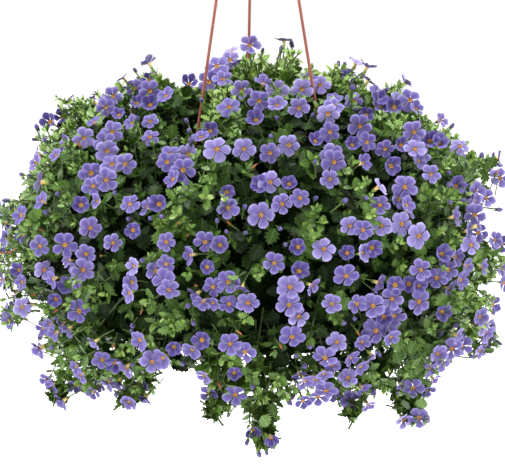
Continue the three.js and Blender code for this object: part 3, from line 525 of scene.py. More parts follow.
def leaf_material():
    material, tree, shader = new_material("bacopa_leaf")
    tone = attribute(tree, "tone")
    reach = attribute(tree, "reach")
    side = math_node(tree, "ABSOLUTE", attribute(tree, "side"))
    # The tone runs from near-black greens, painted shade for leaves in hollows and deep in, to lime, partly
    # the young tips' own colour and partly painted light on the crown and at the seen edge
    body = ramp(tree, tone, [
        (0.0, (0.004, 0.012, 0.002)),
        (0.3, (0.025, 0.064, 0.003)),
        (0.6, (0.084, 0.166, 0.011)),
        (0.8, (0.164, 0.282, 0.036)),
        (1.0, (0.300, 0.405, 0.105)),
    ])
    mottle = noise(tree, 260.0)
    body = mix(tree, mottle, body, (0.045, 0.130, 0.020), "SOFT_LIGHT")
    slope = math_node(tree, "SUBTRACT", reach, math_node(tree, "MULTIPLY", side, 0.35))
    wave = math_node(tree, "MULTIPLY", slope, 34.0)
    ribs = math_node(tree, "POWER", math_node(tree, "ABSOLUTE", math_node(tree, "COSINE", wave)), 10.0)
    midrib = math_node(tree, "LESS_THAN", side, 0.07)
    midrib = math_node(tree, "MULTIPLY", midrib, 0.35)
    veins = math_node(tree, "MAXIMUM", math_node(tree, "MULTIPLY", ribs, 0.3), midrib)
    clear = grey_ramp(tree, tone, (0.0, 0.15), (0.65, 1.0))
    colour = mix(tree, math_node(tree, "MULTIPLY", veins, clear), body, (0.230, 0.350, 0.130))
    tree.links.new(colour, shader.inputs["Base Color"])
    roughness = grey_ramp(tree, mottle, (0.0, 0.28), (1.0, 0.42))
    tree.links.new(roughness, shader.inputs["Roughness"])
    sheen = grey_ramp(tree, tone, (0.0, 0.05), (0.4, 0.15), (0.85, 0.50))
    tree.links.new(sheen, shader.inputs["Specular IOR Level"])
    bump(tree, shader, math_node(tree, "ADD", mottle, math_node(tree, "MULTIPLY", veins, -1.5)), 0.45, 0.0005)
    return material


def petal_material():
    material, tree, shader = new_material("bacopa_petal")
    tone = attribute(tree, "tone")
    reach = attribute(tree, "reach")
    side = math_node(tree, "ABSOLUTE", attribute(tree, "side"))
    young = ramp(tree, reach, [
        (0.00, (0.260, 0.100, 0.012)),
        (0.13, (0.520, 0.340, 0.010)),
        (0.21, (0.440, 0.180, 0.012)),
        (0.25, (0.080, 0.016, 0.030)),
        (0.32, (0.031, 0.018, 0.138)),
        (0.85, (0.049, 0.033, 0.188)),
        (1.00, (0.125, 0.096, 0.330)),
    ])
    open_flower = ramp(tree, reach, [
        (0.00, (0.300, 0.140, 0.010)),
        (0.14, (0.460, 0.285, 0.008)),
        (0.20, (0.250, 0.100, 0.010)),
        (0.25, (0.120, 0.036, 0.050)),
        (0.34, (0.058, 0.036, 0.158)),
        (0.75, (0.105, 0.078, 0.256)),
        (1.00, (0.290, 0.258, 0.530)),
    ])
    pale_flower = ramp(tree, reach, [
        (0.00, (0.300, 0.130, 0.012)),
        (0.12, (0.540, 0.325, 0.016)),
        (0.21, (0.420, 0.190, 0.016)),
        (0.25, (0.170, 0.070, 0.110)),
        (0.34, (0.175, 0.138, 0.350)),
        (0.75, (0.265, 0.230, 0.470)),
        (1.00, (0.450, 0.420, 0.680)),
    ])
    body = mix(tree, tone, young, open_flower)
    body = mix(tree, math_node(tree, "SUBTRACT", tone, 1.0), body, pale_flower)
    pale = math_node(tree, "MULTIPLY", math_node(tree, "POWER", side, 3.0), 0.45)
    body = mix(tree, pale, body, (0.400, 0.370, 0.620))
    wave = math_node(tree, "SINE", math_node(tree, "MULTIPLY", side, 9.0))
    inner = math_node(tree, "SUBTRACT", 1.0, reach)
    streaks = math_node(tree, "MULTIPLY", math_node(tree, "ABSOLUTE", wave), inner)
    body = mix(tree, math_node(tree, "MULTIPLY", streaks, 0.22), body, (0.075, 0.045, 0.240))
    mottle = noise(tree, 320.0)
    body = mix(tree, math_node(tree, "MULTIPLY", mottle, 0.25), body, (0.172, 0.138, 0.350))
    tree.links.new(body, shader.inputs["Base Color"])
    roughness = grey_ramp(tree, mottle, (0.0, 0.50), (1.0, 0.72))
    tree.links.new(roughness, shader.inputs["Roughness"])
    shader.inputs["Specular IOR Level"].default_value = 0.25
    bump(tree, shader, math_node(tree, "ADD", mottle, streaks), 0.3, 0.0004)
    return material


def stalk_material(name, low, high, scale=90.0, specular=0.4):
    material, tree, shader = new_material(name)
    mottle = noise(tree, scale, 4.0)
    colour = ramp(tree, mottle, [(0.3, low), (0.7, high)])
    tree.links.new(colour, shader.inputs["Base Color"])
    roughness = grey_ramp(tree, mottle, (0.0, 0.45), (1.0, 0.7))
    tree.links.new(roughness, shader.inputs["Roughness"])
    shader.inputs["Specular IOR Level"].default_value = specular
    bump(tree, shader, mottle, 0.3, 0.0005)
    return material


def plastic_material():
    material, tree, shader = new_material("terracotta_plastic")
    cloud = noise(tree, 14.0, 4.0)
    grain = noise(tree, 900.0, 2.0)
    colour = ramp(tree, cloud, [(0.3, (0.210, 0.056, 0.036)), (0.7, (0.300, 0.088, 0.058))])
    tree.links.new(colour, shader.inputs["Base Color"])
    roughness = grey_ramp(tree, grain, (0.2, 0.32), (0.8, 0.46))
    tree.links.new(roughness, shader.inputs["Roughness"])
    bump(tree, shader, grain, 0.12, 0.0002)
    return material


def compost_material():
    material, tree, shader = new_material("damp_compost")
    crumbs = noise(tree, 160.0, 8.0)
    colour = ramp(tree, crumbs, [
        (0.30, (0.010, 0.006, 0.004)),
        (0.55, (0.040, 0.022, 0.012)),
        (0.75, (0.110, 0.062, 0.034)),
    ])
    tree.links.new(colour, shader.inputs["Base Color"])
    shader.inputs["Roughness"].default_value = 0.9
    bump(tree, shader, crumbs, 1.0, 0.003)
    return material


LEAF = leaf_material()
PETAL = petal_material()
STEM = stalk_material("green_stem", (0.026, 0.054, 0.010), (0.085, 0.140, 0.028))
TUBE = stalk_material("flower_tube", (0.560, 0.400, 0.120), (0.740, 0.580, 0.260), 200.0)
SPENT = stalk_material("spent_flower", (0.170, 0.045, 0.020), (0.420, 0.130, 0.050), 200.0)
# Near-black painted shade for the shell of inner stems in the ball's middle
SHADE = stalk_material("inner_stems_painted_shade", (0.002, 0.004, 0.001), (0.007, 0.013, 0.004), 90.0, 0.0)
PLASTIC = plastic_material()
COMPOST = compost_material()
BUD = stalk_material("closed_bud", (0.030, 0.022, 0.085), (0.105, 0.080, 0.240), 260.0)

# The materials of the two kinds of piece, and the number of each in it
GREENERY = [LEAF, STEM]
IN_LEAF, IN_STEM = range(2)
BLOOMS = [PETAL, TUBE, LEAF, STEM, SPENT, BUD]
IN_PETAL, IN_TUBE, IN_SEPAL, IN_STALK, IN_SPENT, IN_BUD = range(6)


# Small forms, each made once and repeated

class Form:
    """Corners, triangles, a material number a triangle and three values a corner: tone, reach and side."""

    def __init__(self):
        self.corners, self.faces, self.looks, self.values = [], [], [], []

    def add(self, corners, faces, look, tone, reach=None, side=None):
        start = sum(len(c) for c in self.corners)
        corners = np.asarray(corners, float)
        n = len(corners)
        spread = [np.broadcast_to(np.asarray(0.5 if v is None else v, float), n) for v in (tone, reach, side)]
        self.corners.append(corners)
        self.faces.append(np.asarray(faces, int) + start)
        self.looks.append(np.full(len(faces), look))
        self.values.append(np.stack(spread, axis=1))

    def add_form(self, other, turn, shift):
        corners, faces, looks, values = other.packed()
        self.faces.append(faces + sum(len(c) for c in self.corners))
        self.corners.append(corners @ np.asarray(turn).T + shift)
        self.looks.append(looks)
        self.values.append(values)

    def in_metres(self):
        for corners in self.corners:
            corners *= MM
        return self

    def packed(self):
        return (np.concatenate(self.corners), np.concatenate(self.faces),
                np.concatenate(self.looks), np.concatenate(self.values))


def round_angles(count):
    return np.arange(count) / count * 2 * math.pi


def ring_faces(rings, around, inward=False):
    """Triangles between rings of corners that all have the same number of corners around."""
    faces = []
    for i in range(rings - 1):
        for k in range(around):
            a, b = i * around + k, i * around + (k + 1) % around
            if inward:
                faces += [(a, a + around, b), (b, a + around, b + around)]
            else:
                faces += [(a, b, b + around), (a, b + around, a + around)]
    return faces


def tube(form, points, radii, sides, look, tone=0.5):
    points = np.asarray(points, float)
    tangents = unit(np.gradient(points, axis=0))
    helper = np.array([1.0, 0.0, 0.0]) if abs(tangents[0][0]) < 0.8 else np.array([0.0, 1.0, 0.0])
    angles = round_angles(sides)[:, None]
    rings = []
    for point, tangent, radius in zip(points, tangents, radii):
        across = unit(np.cross(tangent, helper))
        other = np.cross(tangent, across)
        rings.append(point + radius * (np.cos(angles) * across + np.sin(angles) * other))
    form.add(np.concatenate(rings), ring_faces(len(points), sides), look, tone)


def add_sepals(form, foot, middle, tip, half_width, tone, turn=0):
    """Five green sepals. Foot, middle and tip are each a distance outward and a place on the axis."""
    for k in range(5):
        a = math.radians(72 * k + turn)
        out = np.array([math.cos(a), math.sin(a), 0.0])
        across = np.cross(UP, out) * half_width
        low, mid, high = (np.array(place) + out * reach for reach, place in (foot, middle, tip))
        form.add([low, mid - across, mid + across, high], [(0, 1, 2), (1, 3, 2)], IN_SEPAL, tone)


LEAF_HALF = [(0.0, 0.03), (0.08, 0.20), (0.23, 0.45), (0.29, 0.29), (0.46, 0.53), (0.50, 0.31),
             (0.69, 0.43), (0.71, 0.22), (0.88, 0.24), (0.88, 0.09), (1.0, 0.0)]
LEAF_RIB = [0.0, 0.21, 0.45, 0.67, 0.86, 1.0]


def leaf_form(length, width, fold, droop, tone):
    """A toothed leaf along +X with its upper face towards +Z."""
    form = Form()
    for hand in (1, -1):
        rim = [(x, y * hand) for x, y in LEAF_HALF]
        points = [(x, 0.0) for x in LEAF_RIB] + rim
        corners = [(x * length, y * width, (fold * abs(y) - droop * x * x) * length) for x, y in points]
        faces = []
        i, j = 0, 0
        ribs, rims = len(LEAF_RIB), len(rim)
        while i < ribs - 1 or j < rims - 1:
            next_rib = LEAF_RIB[i + 1] if i < ribs - 1 else 9
            next_rim = rim[j + 1][0] if j < rims - 1 else 9
            if next_rim <= next_rib:
                faces.append((i, ribs + j, ribs + j + 1))
                j += 1
            else:
                faces.append((i, ribs + j, i + 1))
                i += 1
        if hand < 0:
            faces = [face[::-1] for face in faces]
        reach = [x for x, _ in points]
        side = [y / 0.45 for _, y in points]
        form.add(corners, faces, IN_LEAF, tone, reach, side)
    return form


def turn_to(along, face):
    """Columns for a leaf whose +X goes along and whose +Z faces a direction."""
    along = unit(along)
    face = unit(face - np.dot(face, along) * along)
    return np.stack([along, np.cross(face, along), face], axis=1)


NODE_DEPTHS = [0.5, 3.4, 8.0, 15.0, 25.0]
NODE_LENGTHS = [4.4, 7.2, 10.0, 12.2, 13.4]
NODE_WIDTHS = [0.58, 0.68, 0.80, 0.92, 0.96]
NODE_ANGLES = [24, 46, 60, 70, 80]
NODE_TONES = [0.97, 0.78, 0.55, 0.38, 0.26]
STEM_PAST_LEAVES = 20.0
TUFT_STEM = 6.0


def sprig_form(draws, pairs):
    """A leafy stem with crossed pairs of toothed leaves. It grows along +Z to its tip at the origin."""
    form = Form()
    stem = NODE_DEPTHS[pairs - 1] + (STEM_PAST_LEAVES if pairs == len(NODE_DEPTHS) else TUFT_STEM)
    for k, depth in enumerate(NODE_DEPTHS[:pairs]):
        depth *= draws.uniform(0.85, 1.15)
        for half in (0, 180):
            yaw = math.radians(90 * k + half + draws.uniform(-14, 14))
            pitch = math.radians(NODE_ANGLES[k] + draws.uniform(-18, 18))
            across = math.sin(pitch)
            along = np.array([across * math.cos(yaw), across * math.sin(yaw), math.cos(pitch)])
            length = NODE_LENGTHS[k] * draws.uniform(0.82, 1.15)
            width = length * NODE_WIDTHS[k] * draws.uniform(0.9, 1.08)
            fold, droop = draws.uniform(0.05, 0.26), draws.uniform(0.0, 0.22)
            leaf = leaf_form(length, width, fold, droop, NODE_TONES[k] + draws.uniform(-0.09, 0.09))
            face = UP + draws.uniform(-0.45, 0.45, 3)
            form.add_form(leaf, turn_to(along, face), np.array([0, 0, -depth]) + along * 0.6)
    heights = np.linspace(-stem, 0, 5)
    tube(form, [(0, 0, z) for z in heights], np.linspace(0.95, 0.45, 5), 4, IN_STEM)
    bend = draws.uniform(-0.3, 0.3, 2)
    for corners in form.corners:
        share = np.clip(-corners[:, 2] / stem, 0, 1)
        corners[:, :2] += (share**2)[:, None] * bend * stem
    return form.in_metres()


PETAL_ROWS = [0.0, 0.18, 0.40, 0.62, 0.80, 0.92, 1.0]
PETAL_ACROSS = [-1.0, -0.5, 0.0, 0.5, 1.0]
THROAT = 1.9


def petal_corners(reach_length, width, lift, curl, roll, ruffle):
    corners, reach, side = [], [], []
    for t in PETAL_ROWS:
        half = width / 2 * (0.22 + 0.78 * math.sin(math.pi / 2 * min(t / 0.66, 1)) ** 1.3)
        half *= math.sqrt(max(1 - (max(t - 0.66, 0) / 0.35) ** 2, 0.02))
        for s in PETAL_ACROSS:
            r = THROAT + t * (reach_length - THROAT) - 0.5 * s * s * t
            z = lift * t * reach_length - curl * t * t * reach_length
            z += -roll * s * s * t * reach_length + ruffle * math.sin(3.1 * s + 5 * t) * t
            corners.append((r, s * half, z))
            reach.append(0.25 + 0.75 * t)
            side.append(s)
    columns = len(PETAL_ACROSS)
    faces = []
    for i in range(len(PETAL_ROWS) - 1):
        for k in range(columns - 1):
            a = i * columns + k
            faces += [(a, a + columns, a + columns + 1), (a, a + columns + 1, a + 1)]
    return np.array(corners), faces, reach, side


PETAL_ANGLES = [57, 123, 196, 270, 344]
THROAT_SIDES = 10
THROAT_RINGS = [(THROAT + 0.3, 0.12, 0.26), (1.45, -0.4, 0.17), (0.75, -1.3, 0.08)]  # radius, height, reach
THROAT_FLOOR = -2.0


def flower_form(draws, radius, tone, lift, curl, width_share):
    """A five-petalled flower that faces +Z with its single lowest petal towards -Y."""
    form = Form()
    for angle in PETAL_ANGLES:
        angle = math.radians(angle + draws.uniform(-5, 5))
        size = radius * draws.uniform(0.93, 1.04)
        corners, faces, reach, side = petal_corners(
            size, size * width_share * draws.uniform(0.92, 1.08), lift + draws.uniform(-0.1, 0.1),
            curl + draws.uniform(-0.08, 0.08), draws.uniform(0.02, 0.2), draws.uniform(-0.5, 0.5))
        c, s = math.cos(angle), math.sin(angle)
        turn = np.array([[c, -s, 0], [s, c, 0], [0, 0, 1]])
        form.add(corners @ turn.T, faces, IN_PETAL, tone + draws.uniform(-0.05, 0.05), reach, side)
    throat, reach = [], []
    for r, z, value in THROAT_RINGS:
        throat += [(r * math.cos(a), r * math.sin(a), z) for a in round_angles(THROAT_SIDES)]
        reach += [value] * THROAT_SIDES
    last = len(throat) - THROAT_SIDES
    faces = ring_faces(len(THROAT_RINGS), THROAT_SIDES, inward=True)
    faces += [(last + k, len(throat), last + (k + 1) % THROAT_SIDES) for k in range(THROAT_SIDES)]
    form.add(throat + [(0, 0, THROAT_FLOOR)], faces, IN_PETAL, tone, reach + [0.0], 0.0)
    tube(form, [(0, 0, -0.2), (0, 0, -2.5), (0, -0.3, -6.0)], [2.3, 1.5, 1.0], 8, IN_TUBE)
    add_sepals(form, (0.7, (0, -0.4, -7.5)), (1.7, (0, -0.3, -5.2)), (2.3, (0, -0.1, -2.6)), 0.8, 0.75, 20)
    tube(form, [(0, -0.3, -6.5), (0.6, -1.5, -14), (1.4, -5, -24)], [0.75, 0.6, 0.6], 4, IN_STALK)
    return form.in_metres()


def flower_forms(draws, count, *sizes):
    """Packed flowers. Each of their sizes is a number, or the two ends of a range to draw from."""
    forms = []
    for _ in range(count):
        drawn = [draws.uniform(*size) if isinstance(size, tuple) else size for size in sizes]
        forms.append(flower_form(draws, *drawn).packed())
    return forms


BUD_PROFILE = [(0.0, 0.7), (0.2, 1.5), (0.5, 2.15), (0.78, 1.75), (1.0, 0.15)]
BUD_SIDES = 6


def bud_form(length, tone):
    """A closed violet bud on a green calyx that points along +Z."""
    form = Form()
    rings, reach = [], []
    for t, r in BUD_PROFILE:
        for a in round_angles(BUD_SIDES) + 0.5 * t:
            swell = 1 + 0.12 * math.cos(3 * a)
            rings.append((r * swell * math.cos(a), r * swell * math.sin(a), t * length))
            reach.append(0.4 + 0.5 * t)
    form.add(rings, ring_faces(len(BUD_PROFILE), BUD_SIDES), IN_BUD, tone, reach, 0.3)
    add_sepals(form, (0.5, (0, 0, -1.5)), (1.9, (0, 0, 0)), (2.4, (0, 0, length * 0.45)), 0.8, 0.8)
    tube(form, [(0, 0, -1), (0.6, 0, -7), (1.6, 0, -14)], [0.8, 0.6, 0.6], 4, IN_STALK)
    return form.in_metres()


def spent_form(draws):
    """A withered flower: a brown-red twist on a yellow-green calyx."""
    form = Form()
    sway = draws.uniform(-1.2, 1.2, 2)
    twist = [(0, 0, 0), (sway[0], sway[1], 3.5), (2 * sway[0], sway[1], 7.0)]
    tube(form, twist, [1.1, 0.9, 0.25], 5, IN_SPENT)
    add_sepals(form, (0.5, (0, 0, -1.5)), (1.5, (0, 0, 0)), (1.9, (0, 0, 3.2)), 0.7, 0.9)
    tube(form, [(0, 0, -1), (0.6, 0, -7), (1.6, 0, -13)], [0.8, 0.6, 0.6], 4, IN_STALK)
    return form.in_metres()


SPRIGS = [sprig_form(rng, 5).packed() for _ in range(12)]
TUFTS = [sprig_form(rng, 3).packed() for _ in range(6)]
OPEN_FLOWERS = flower_forms(rng, 10, (9.9, 11.6), (0.8, 1.0), (0.0, 0.22), (0.0, 0.2), 0.82)
HALF_FLOWERS = flower_forms(rng, 5, (9.4, 10.6), (0.6, 1.0), (0.3, 0.6), 0.12, 0.9)
YOUNG_FLOWERS = flower_forms(rng, 4, (7.6, 8.8), (0.0, 0.25), (0.6, 0.95), 0.1, 0.95)
BUDS = [bud_form(rng.uniform(4.6, 7.0), rng.uniform(0.0, 0.3)).packed() for _ in range(4)]
SPENTS = [spent_form(rng).packed() for _ in range(3)]
LOOSE_LEAF = leaf_form(14 * MM, 13 * MM, 0.12, 0.15, 0.0).packed()


def flower_look(draws):
    """Size, tone and a slight squash for one flower."""
    size = draws.uniform(0.78, 1.06)
    tone = draws.uniform(-0.65, 0.15) + (draws.uniform(0.4, 0.8) if draws.uniform() < 0.14 else 0)
    squash = np.diag([draws.uniform(0.9, 1.0), draws.uniform(0.84, 1.0), 1.0])
    return size, tone, squash


def once(packed):
    """A batch that holds one form as it stands."""
    return packed, [np.eye(3)], [np.zeros(3)], [1.0], [0.0]


def build(name, batches, materials):
    """One mesh from repeats. A batch is a form, its turns, its places, a size each and a tone shift each."""
    corners, faces, looks, values = [], [], [], []
    count = 0
    for (form_corners, form_faces, form_looks, form_values), turns, places, sizes, tones in batches:
        n, v = len(places), len(form_corners)
        turned = np.einsum("nij,vj->nvi", np.asarray(turns) * np.asarray(sizes)[:, None, None], form_corners)
        corners.append((turned + np.asarray(places)[:, None, :]).reshape(-1, 3))
        faces.append((form_faces[None] + (count + np.arange(n) * v)[:, None, None]).reshape(-1, 3))
        looks.append(np.tile(form_looks, n))
        shifted = np.repeat(form_values[None], n, axis=0)
        shifted[:, :, 0] += np.asarray(tones)[:, None]
        values.append(shifted.reshape(-1, 3))
        count += n * v
    corners, faces = np.concatenate(corners), np.concatenate(faces)
    looks, values = np.concatenate(looks), np.concatenate(values)
    mesh = bpy.data.meshes.new(name)
    mesh.vertices.add(len(corners))
    mesh.vertices.foreach_set("co", corners.ravel().astype(np.float32))
    mesh.loops.add(faces.size)
    mesh.loops.foreach_set("vertex_index", faces.ravel().astype(np.int32))
    mesh.polygons.add(len(faces))
    mesh.polygons.foreach_set("loop_start", np.arange(0, faces.size, 3, dtype=np.int32))
    mesh.polygons.foreach_set("material_index", looks.astype(np.int32))
    mesh.polygons.foreach_set("use_smooth", np.ones(len(faces), dtype=bool))
    for i, key in enumerate(("tone", "reach", "side")):
        layer = mesh.attributes.new(key, "FLOAT", "POINT")
        layer.data.foreach_set("value", values[:, i].astype(np.float32))
    for material in materials:
        mesh.materials.append(material)
    mesh.update(calc_edges=True)
    piece = bpy.data.objects.new(name, mesh)
    bpy.context.collection.objects.link(piece)
    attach(piece, "root")
    return piece


def facing_turns(facings, rolls, up=UP):
    """Turns whose +Z faces each direction and whose +Y leans to the sky, then rolled."""
    z = unit(facings)
    x = np.cross(np.broadcast_to(up, z.shape), z)
    small = np.linalg.norm(x, axis=1) < 0.05
    x[small] = np.cross(np.array([0.0, 1.0, 0.0]), z[small])
    x = unit(x)
    y = np.cross(z, x)
    c, s = np.cos(rolls)[:, None], np.sin(rolls)[:, None]
    return np.stack([c * x + s * y, c * y - s * x, z], axis=2)


# Where everything grows

# A flower star of the CAD model, in mm: how far apart its two hubs lie, within a slack, how far past the
# outer one the flower's middle stands, and how many edges meet at a hub at least
STAR_DEPTH = 2.8
STAR_SLACK = 0.35
STAR_FACE = 1.8
HUB_EDGES = 10

# Distances between neighbours over the ball, in mm
STEM_SPACING = 13.2
DEEP_LEAF_SPACING = 11.5
SPRAY_SPACING = 34
TUFT_SPACING = 21
DRIFT_SPACING = 40
DRIFT_GAP = 26
FLOWER_GAP = 14
FRONT_FLOWER_GAP = 19
DRIFT_ROUNDS = 7
MOST_FLOWERS = 460

# Heights at which the looks change, among them the painted light and shade on the leaves, in metres, and the
# share of the ball's reach that stands off it
CROWN_Z = -0.37
SKIRT_Z = -0.53
HANGING_Z = -0.57
SIDE_FLOWER_Z = -0.45
OFF_BALL = 1.02

# Tones of the flowers that are paler than most, and of those that stand off the ball's upper half, whose
# lighter tone is painted light through petals seen from behind
PALE_TONES = (0.4, 0.7)
BACKLIT_PAINTED_TONES = (0.9, 1.2)
GOLDEN_ANGLE = 137.50776


def pick(forms):
    return forms[rng.integers(len(forms))]


def free_turn(way):
    """A turn that faces a way, rolled at random."""
    return facing_turns(way[None], np.array([rng.uniform(0, 6.28)]))[0]


def flower_gap(point):
    return np.min(np.linalg.norm(all_flowers - point, axis=1))


def group_of(azimuth, elevation):
    for name, count, low, high, first in ROWS:
        if elevation >= low or name == "skirt":
            width = 360 / count
            index = int(((azimuth - first + width / 2) % 360) // width)
            return f"{name}_{index + 1}"


def spread_sites(candidates, spacing, low, high, draws):
    """Even but irregular places over the ball between two elevations."""
    i = np.arange(candidates)
    elevation = np.degrees(np.arcsin(1 - 2 * (i + 0.5) / candidates)) + draws.uniform(-2, 2, candidates)
    azimuth = (i * GOLDEN_ANGLE) % 360 + draws.uniform(-3, 3, candidates)
    keep = (elevation > low) & (elevation < high)
    azimuth, elevation = azimuth[keep], elevation[keep]
    order = draws.permutation(len(azimuth))
    azimuth, elevation = azimuth[order], elevation[order]
    points = ball_point(azimuth, elevation)
    chosen = []
    for k, point in enumerate(points):
        if not chosen or np.min(np.linalg.norm(points[chosen] - point, axis=1)) > spacing:
            chosen.append(k)
    return azimuth[chosen], elevation[chosen]


def cad_flowers():
    """Middle and group of every flower of the CAD drifts, read from the hub corners of their stars."""
    found = []
    for name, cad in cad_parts.items():
        if not name.startswith("bloom_spray_"):
            continue
        mesh = cad.data
        points = np.array([v.co for v in mesh.vertices])
        keys, index = {}, []
        for p in np.round(points, 6):
            index.append(keys.setdefault(tuple(p), len(keys)))
        places = np.array(list(keys))
        around = [set() for _ in keys]
        for edge in mesh.edges:
            a, b = index[edge.vertices[0]], index[edge.vertices[1]]
            if a != b:
                around[a].add(b)
                around[b].add(a)
        hubs = [i for i, ring in enumerate(around) if len(ring) >= HUB_EDGES]
        for i in hubs:
            for j in hubs:
                apart = places[i] - places[j]
                distance = np.linalg.norm(apart)
                outward = np.dot(apart, places[i] - BALL_CENTRE) > 0
                if i != j and outward and abs(distance - STAR_DEPTH * MM) < STAR_SLACK * MM:
                    middle = places[i] + STAR_FACE * MM * apart / distance
                    found.append((middle, name.removeprefix("bloom_spray_")))
    return found


# Places of the leafy stems, and of the drifts of flowers
rng = np.random.default_rng(102)
stems = spread_sites(12000, STEM_SPACING * MM, -38, 88, rng)
seeds = cad_flowers()
for azimuth, elevation in zip(*spread_sites(3000, DRIFT_SPACING * MM, -34, 84, rng)):
    spot = ball_point(azimuth, elevation, rng.uniform(0.98, 1.03))
    if min(np.linalg.norm(p - spot) for p, _ in seeds) > DRIFT_GAP * MM:
        seeds.append((spot, group_of(azimuth, elevation)))

# What the photograph shows in front, with how far out it stands as a share of the ball's reach
rng = np.random.default_rng(103)
FRONT_KINDS = {
    "open": (OPEN_PLACES, 1.0), "cup": (CUP_PLACES, 0.99), "side": (SIDE_PLACES, 1.0),
    "bud": (BUD_PLACES, 1.01), "spent": (SPENT_PLACES, 0.99), "tip": (TIP_PLACES, 1.0),
    "leaf": (LEAF_PLACES, 0.965),
}
front = {}
for kind, (places, depth) in FRONT_KINDS.items():
    spots = [seen_spot(x, y, depth + rng.uniform(-0.025, 0.025), rng.uniform(-22, 16)) for x, y in places]
    front[kind] = np.array(spots)
front_flowers = np.concatenate([front["open"], front["cup"], front["side"]])


def faces_camera(spot):
    azimuth, elevation = angles_of(spot)
    if elevation < -18 and 195 < azimuth % 360 < 345:
        return True
    limit = SIDE_FACING if -18 < elevation < 40 else HIDDEN_FACING
    return np.dot(ball_normal(azimuth, elevation), to_camera(spot)) > limit


# The sides and the back get their flowers at random around the drifts
rng = np.random.default_rng(104)
seeds = [seed for seed in seeds if not faces_camera(seed[0])]
flower_spots = [p if in_outline(p, 10) else pulled_in(*angles_of(p), 0.98, 12.0) for p, _ in seeds]
flower_groups = [g for _, g in seeds]
for _ in range(DRIFT_ROUNDS):
    for spot, group in seeds:
        azimuth, elevation = angles_of(spot)
        normal = ball_normal(azimuth, elevation)
        aside = unit(np.cross(UP, normal) + 1e-6)
        angle, reach = rng.uniform(0, 2 * math.pi), rng.uniform(13, 27) * MM
        moved = spot + reach * (math.cos(angle) * aside + math.sin(angle) * np.cross(normal, aside))
        a, e = angles_of(moved)
        if e < -33 or len(flower_spots) > MOST_FLOWERS or faces_camera(moved):
            continue
        moved = pulled_in(a, e, rng.uniform(0.97, 1.03), 13.0)
        gap, front_gap = (np.min(np.linalg.norm(np.array(spots) - moved, axis=1))
                          for spots in (flower_spots, front_flowers))
        if gap > FLOWER_GAP * MM and front_gap > FRONT_FLOWER_GAP * MM and in_outline(moved, 8):
            flower_spots.append(moved)
            flower_groups.append(group)
flower_spots = np.array(flower_spots)
all_flowers = np.concatenate([flower_spots, front_flowers])
leaf_batches, bloom_batches = {}, {}


def rim_light_share(point):
    """How near a point of the ball is to the edge that the camera sees, from 0 to 1; leaf tones are raised by
    it as painted rim light.
    """
    return max(0.0, 1 - 2.0 * abs(np.dot(ball_normal(*angles_of(point)), to_camera(point))))


def put(store, group, form, turn, place, size, tone):
    store.setdefault(group, {}).setdefault(id(form), [form, [], [], [], []])
    for values, value in zip(store[group][id(form)][1:], (turn, place, size, tone)):
        values.append(value)


# Leafy stems over the whole ball, standing out between the flowers
rng = np.random.default_rng(105)
azimuths, elevations = stems
normals = ball_normal(azimuths, elevations)
points = ball_point(azimuths, elevations)
down = unit(-UP + (normals @ UP)[:, None] * normals)
trail = np.interp(elevations, [-40, 0, 50, 90], [0.75, 0.45, 0.2, 0.0])
lift = np.interp(elevations, [-40, 0, 90], [0.0, 0.28, 0.1])
growth = normals + trail[:, None] * down + lift[:, None] * UP + rng.uniform(-0.42, 0.42, normals.shape)
turns = facing_turns(growth, rng.uniform(0, 2 * math.pi, len(points)))
for k in range(len(points)):
    hollow = hollow_share(points[k])
    scale = rng.uniform(0.935, 1.010) - (0.05 if flower_gap(points[k]) < 12 * MM else 0) - 0.07 * hollow
    form = pick(SPRIGS)
    place = pulled_in(azimuths[k], elevations[k], scale)
    if hides_rod(place, 9) or rng.uniform() < 0.62 * hollow:
        continue
    # Tone: painted shade for sprigs set deeper and in hollows, painted rim light near the seen edge
    tone = rng.uniform(-0.15, 0.13) + (scale - 0.96) * 2.0 - 0.15 * hollow + 0.16 * rim_light_share(place)
    group = group_of(azimuths[k], elevations[k])
    put(leaf_batches, group, form, turns[k], place, rng.uniform(0.85, 1.15), tone)


# Older leaves deeper in, which close the view to the middle. Their low tone is partly the darker green of old
# leaves and partly painted shade, darker still in hollows
rng = np.random.default_rng(106)
azimuths, elevations = spread_sites(12000, DEEP_LEAF_SPACING * MM, -47, 88, rng)
normals = ball_normal(azimuths, elevations)
facings = unit(normals + rng.uniform(-0.6, 0.6, normals.shape) + 0.3 * UP)
turns = facing_turns(facings, rng.uniform(0, 2 * math.pi, len(facings)))
for k in range(len(facings)):
    place = ball_point(azimuths[k], elevations[k], rng.uniform(0.80, 0.91))
    hollow = hollow_share(place)
    if hides_rod(place, 8) or not in_outline(place, 1):
        continue
    put(leaf_batches, group_of(azimuths[k], elevations[k]), LOOSE_LEAF, turns[k], place,
        rng.uniform(0.75, 1.15), rng.uniform(0.05, 0.32) - 0.22 * hollow)


# Loose sprays whose tips stand out of the ball
rng = np.random.default_rng(107)
azimuths, elevations = spread_sites(3000, SPRAY_SPACING * MM, -34, 80, rng)
normals = ball_normal(azimuths, elevations)
for k in range(len(azimuths)):
    place = ball_point(azimuths[k], elevations[k], rng.uniform(1.02, 1.065))
    if flower_gap(place) < 15 * MM or hides_rod(place, 12):
        continue
    if not in_outline(place) or hollow_share(place) > 0.35:
        continue
    group = group_of(azimuths[k], elevations[k])
    way = normals[k] + 0.25 * UP + rng.uniform(-0.5, 0.5, 3)
    turn = free_turn(way)
    put(leaf_batches, group, pick(SPRIGS), turn, place, rng.uniform(0.7, 0.95), rng.uniform(-0.05, 0.15))
    for _ in range(2 * in_outline(place, 12)):
        turn = free_turn(way + rng.uniform(-0.6, 0.6, 3))
        put(bloom_batches, group, pick(BUDS), turn, place + unit(way) * 3 * MM, rng.uniform(0.8, 1.1),
            rng.uniform(-0.1, 0.2))


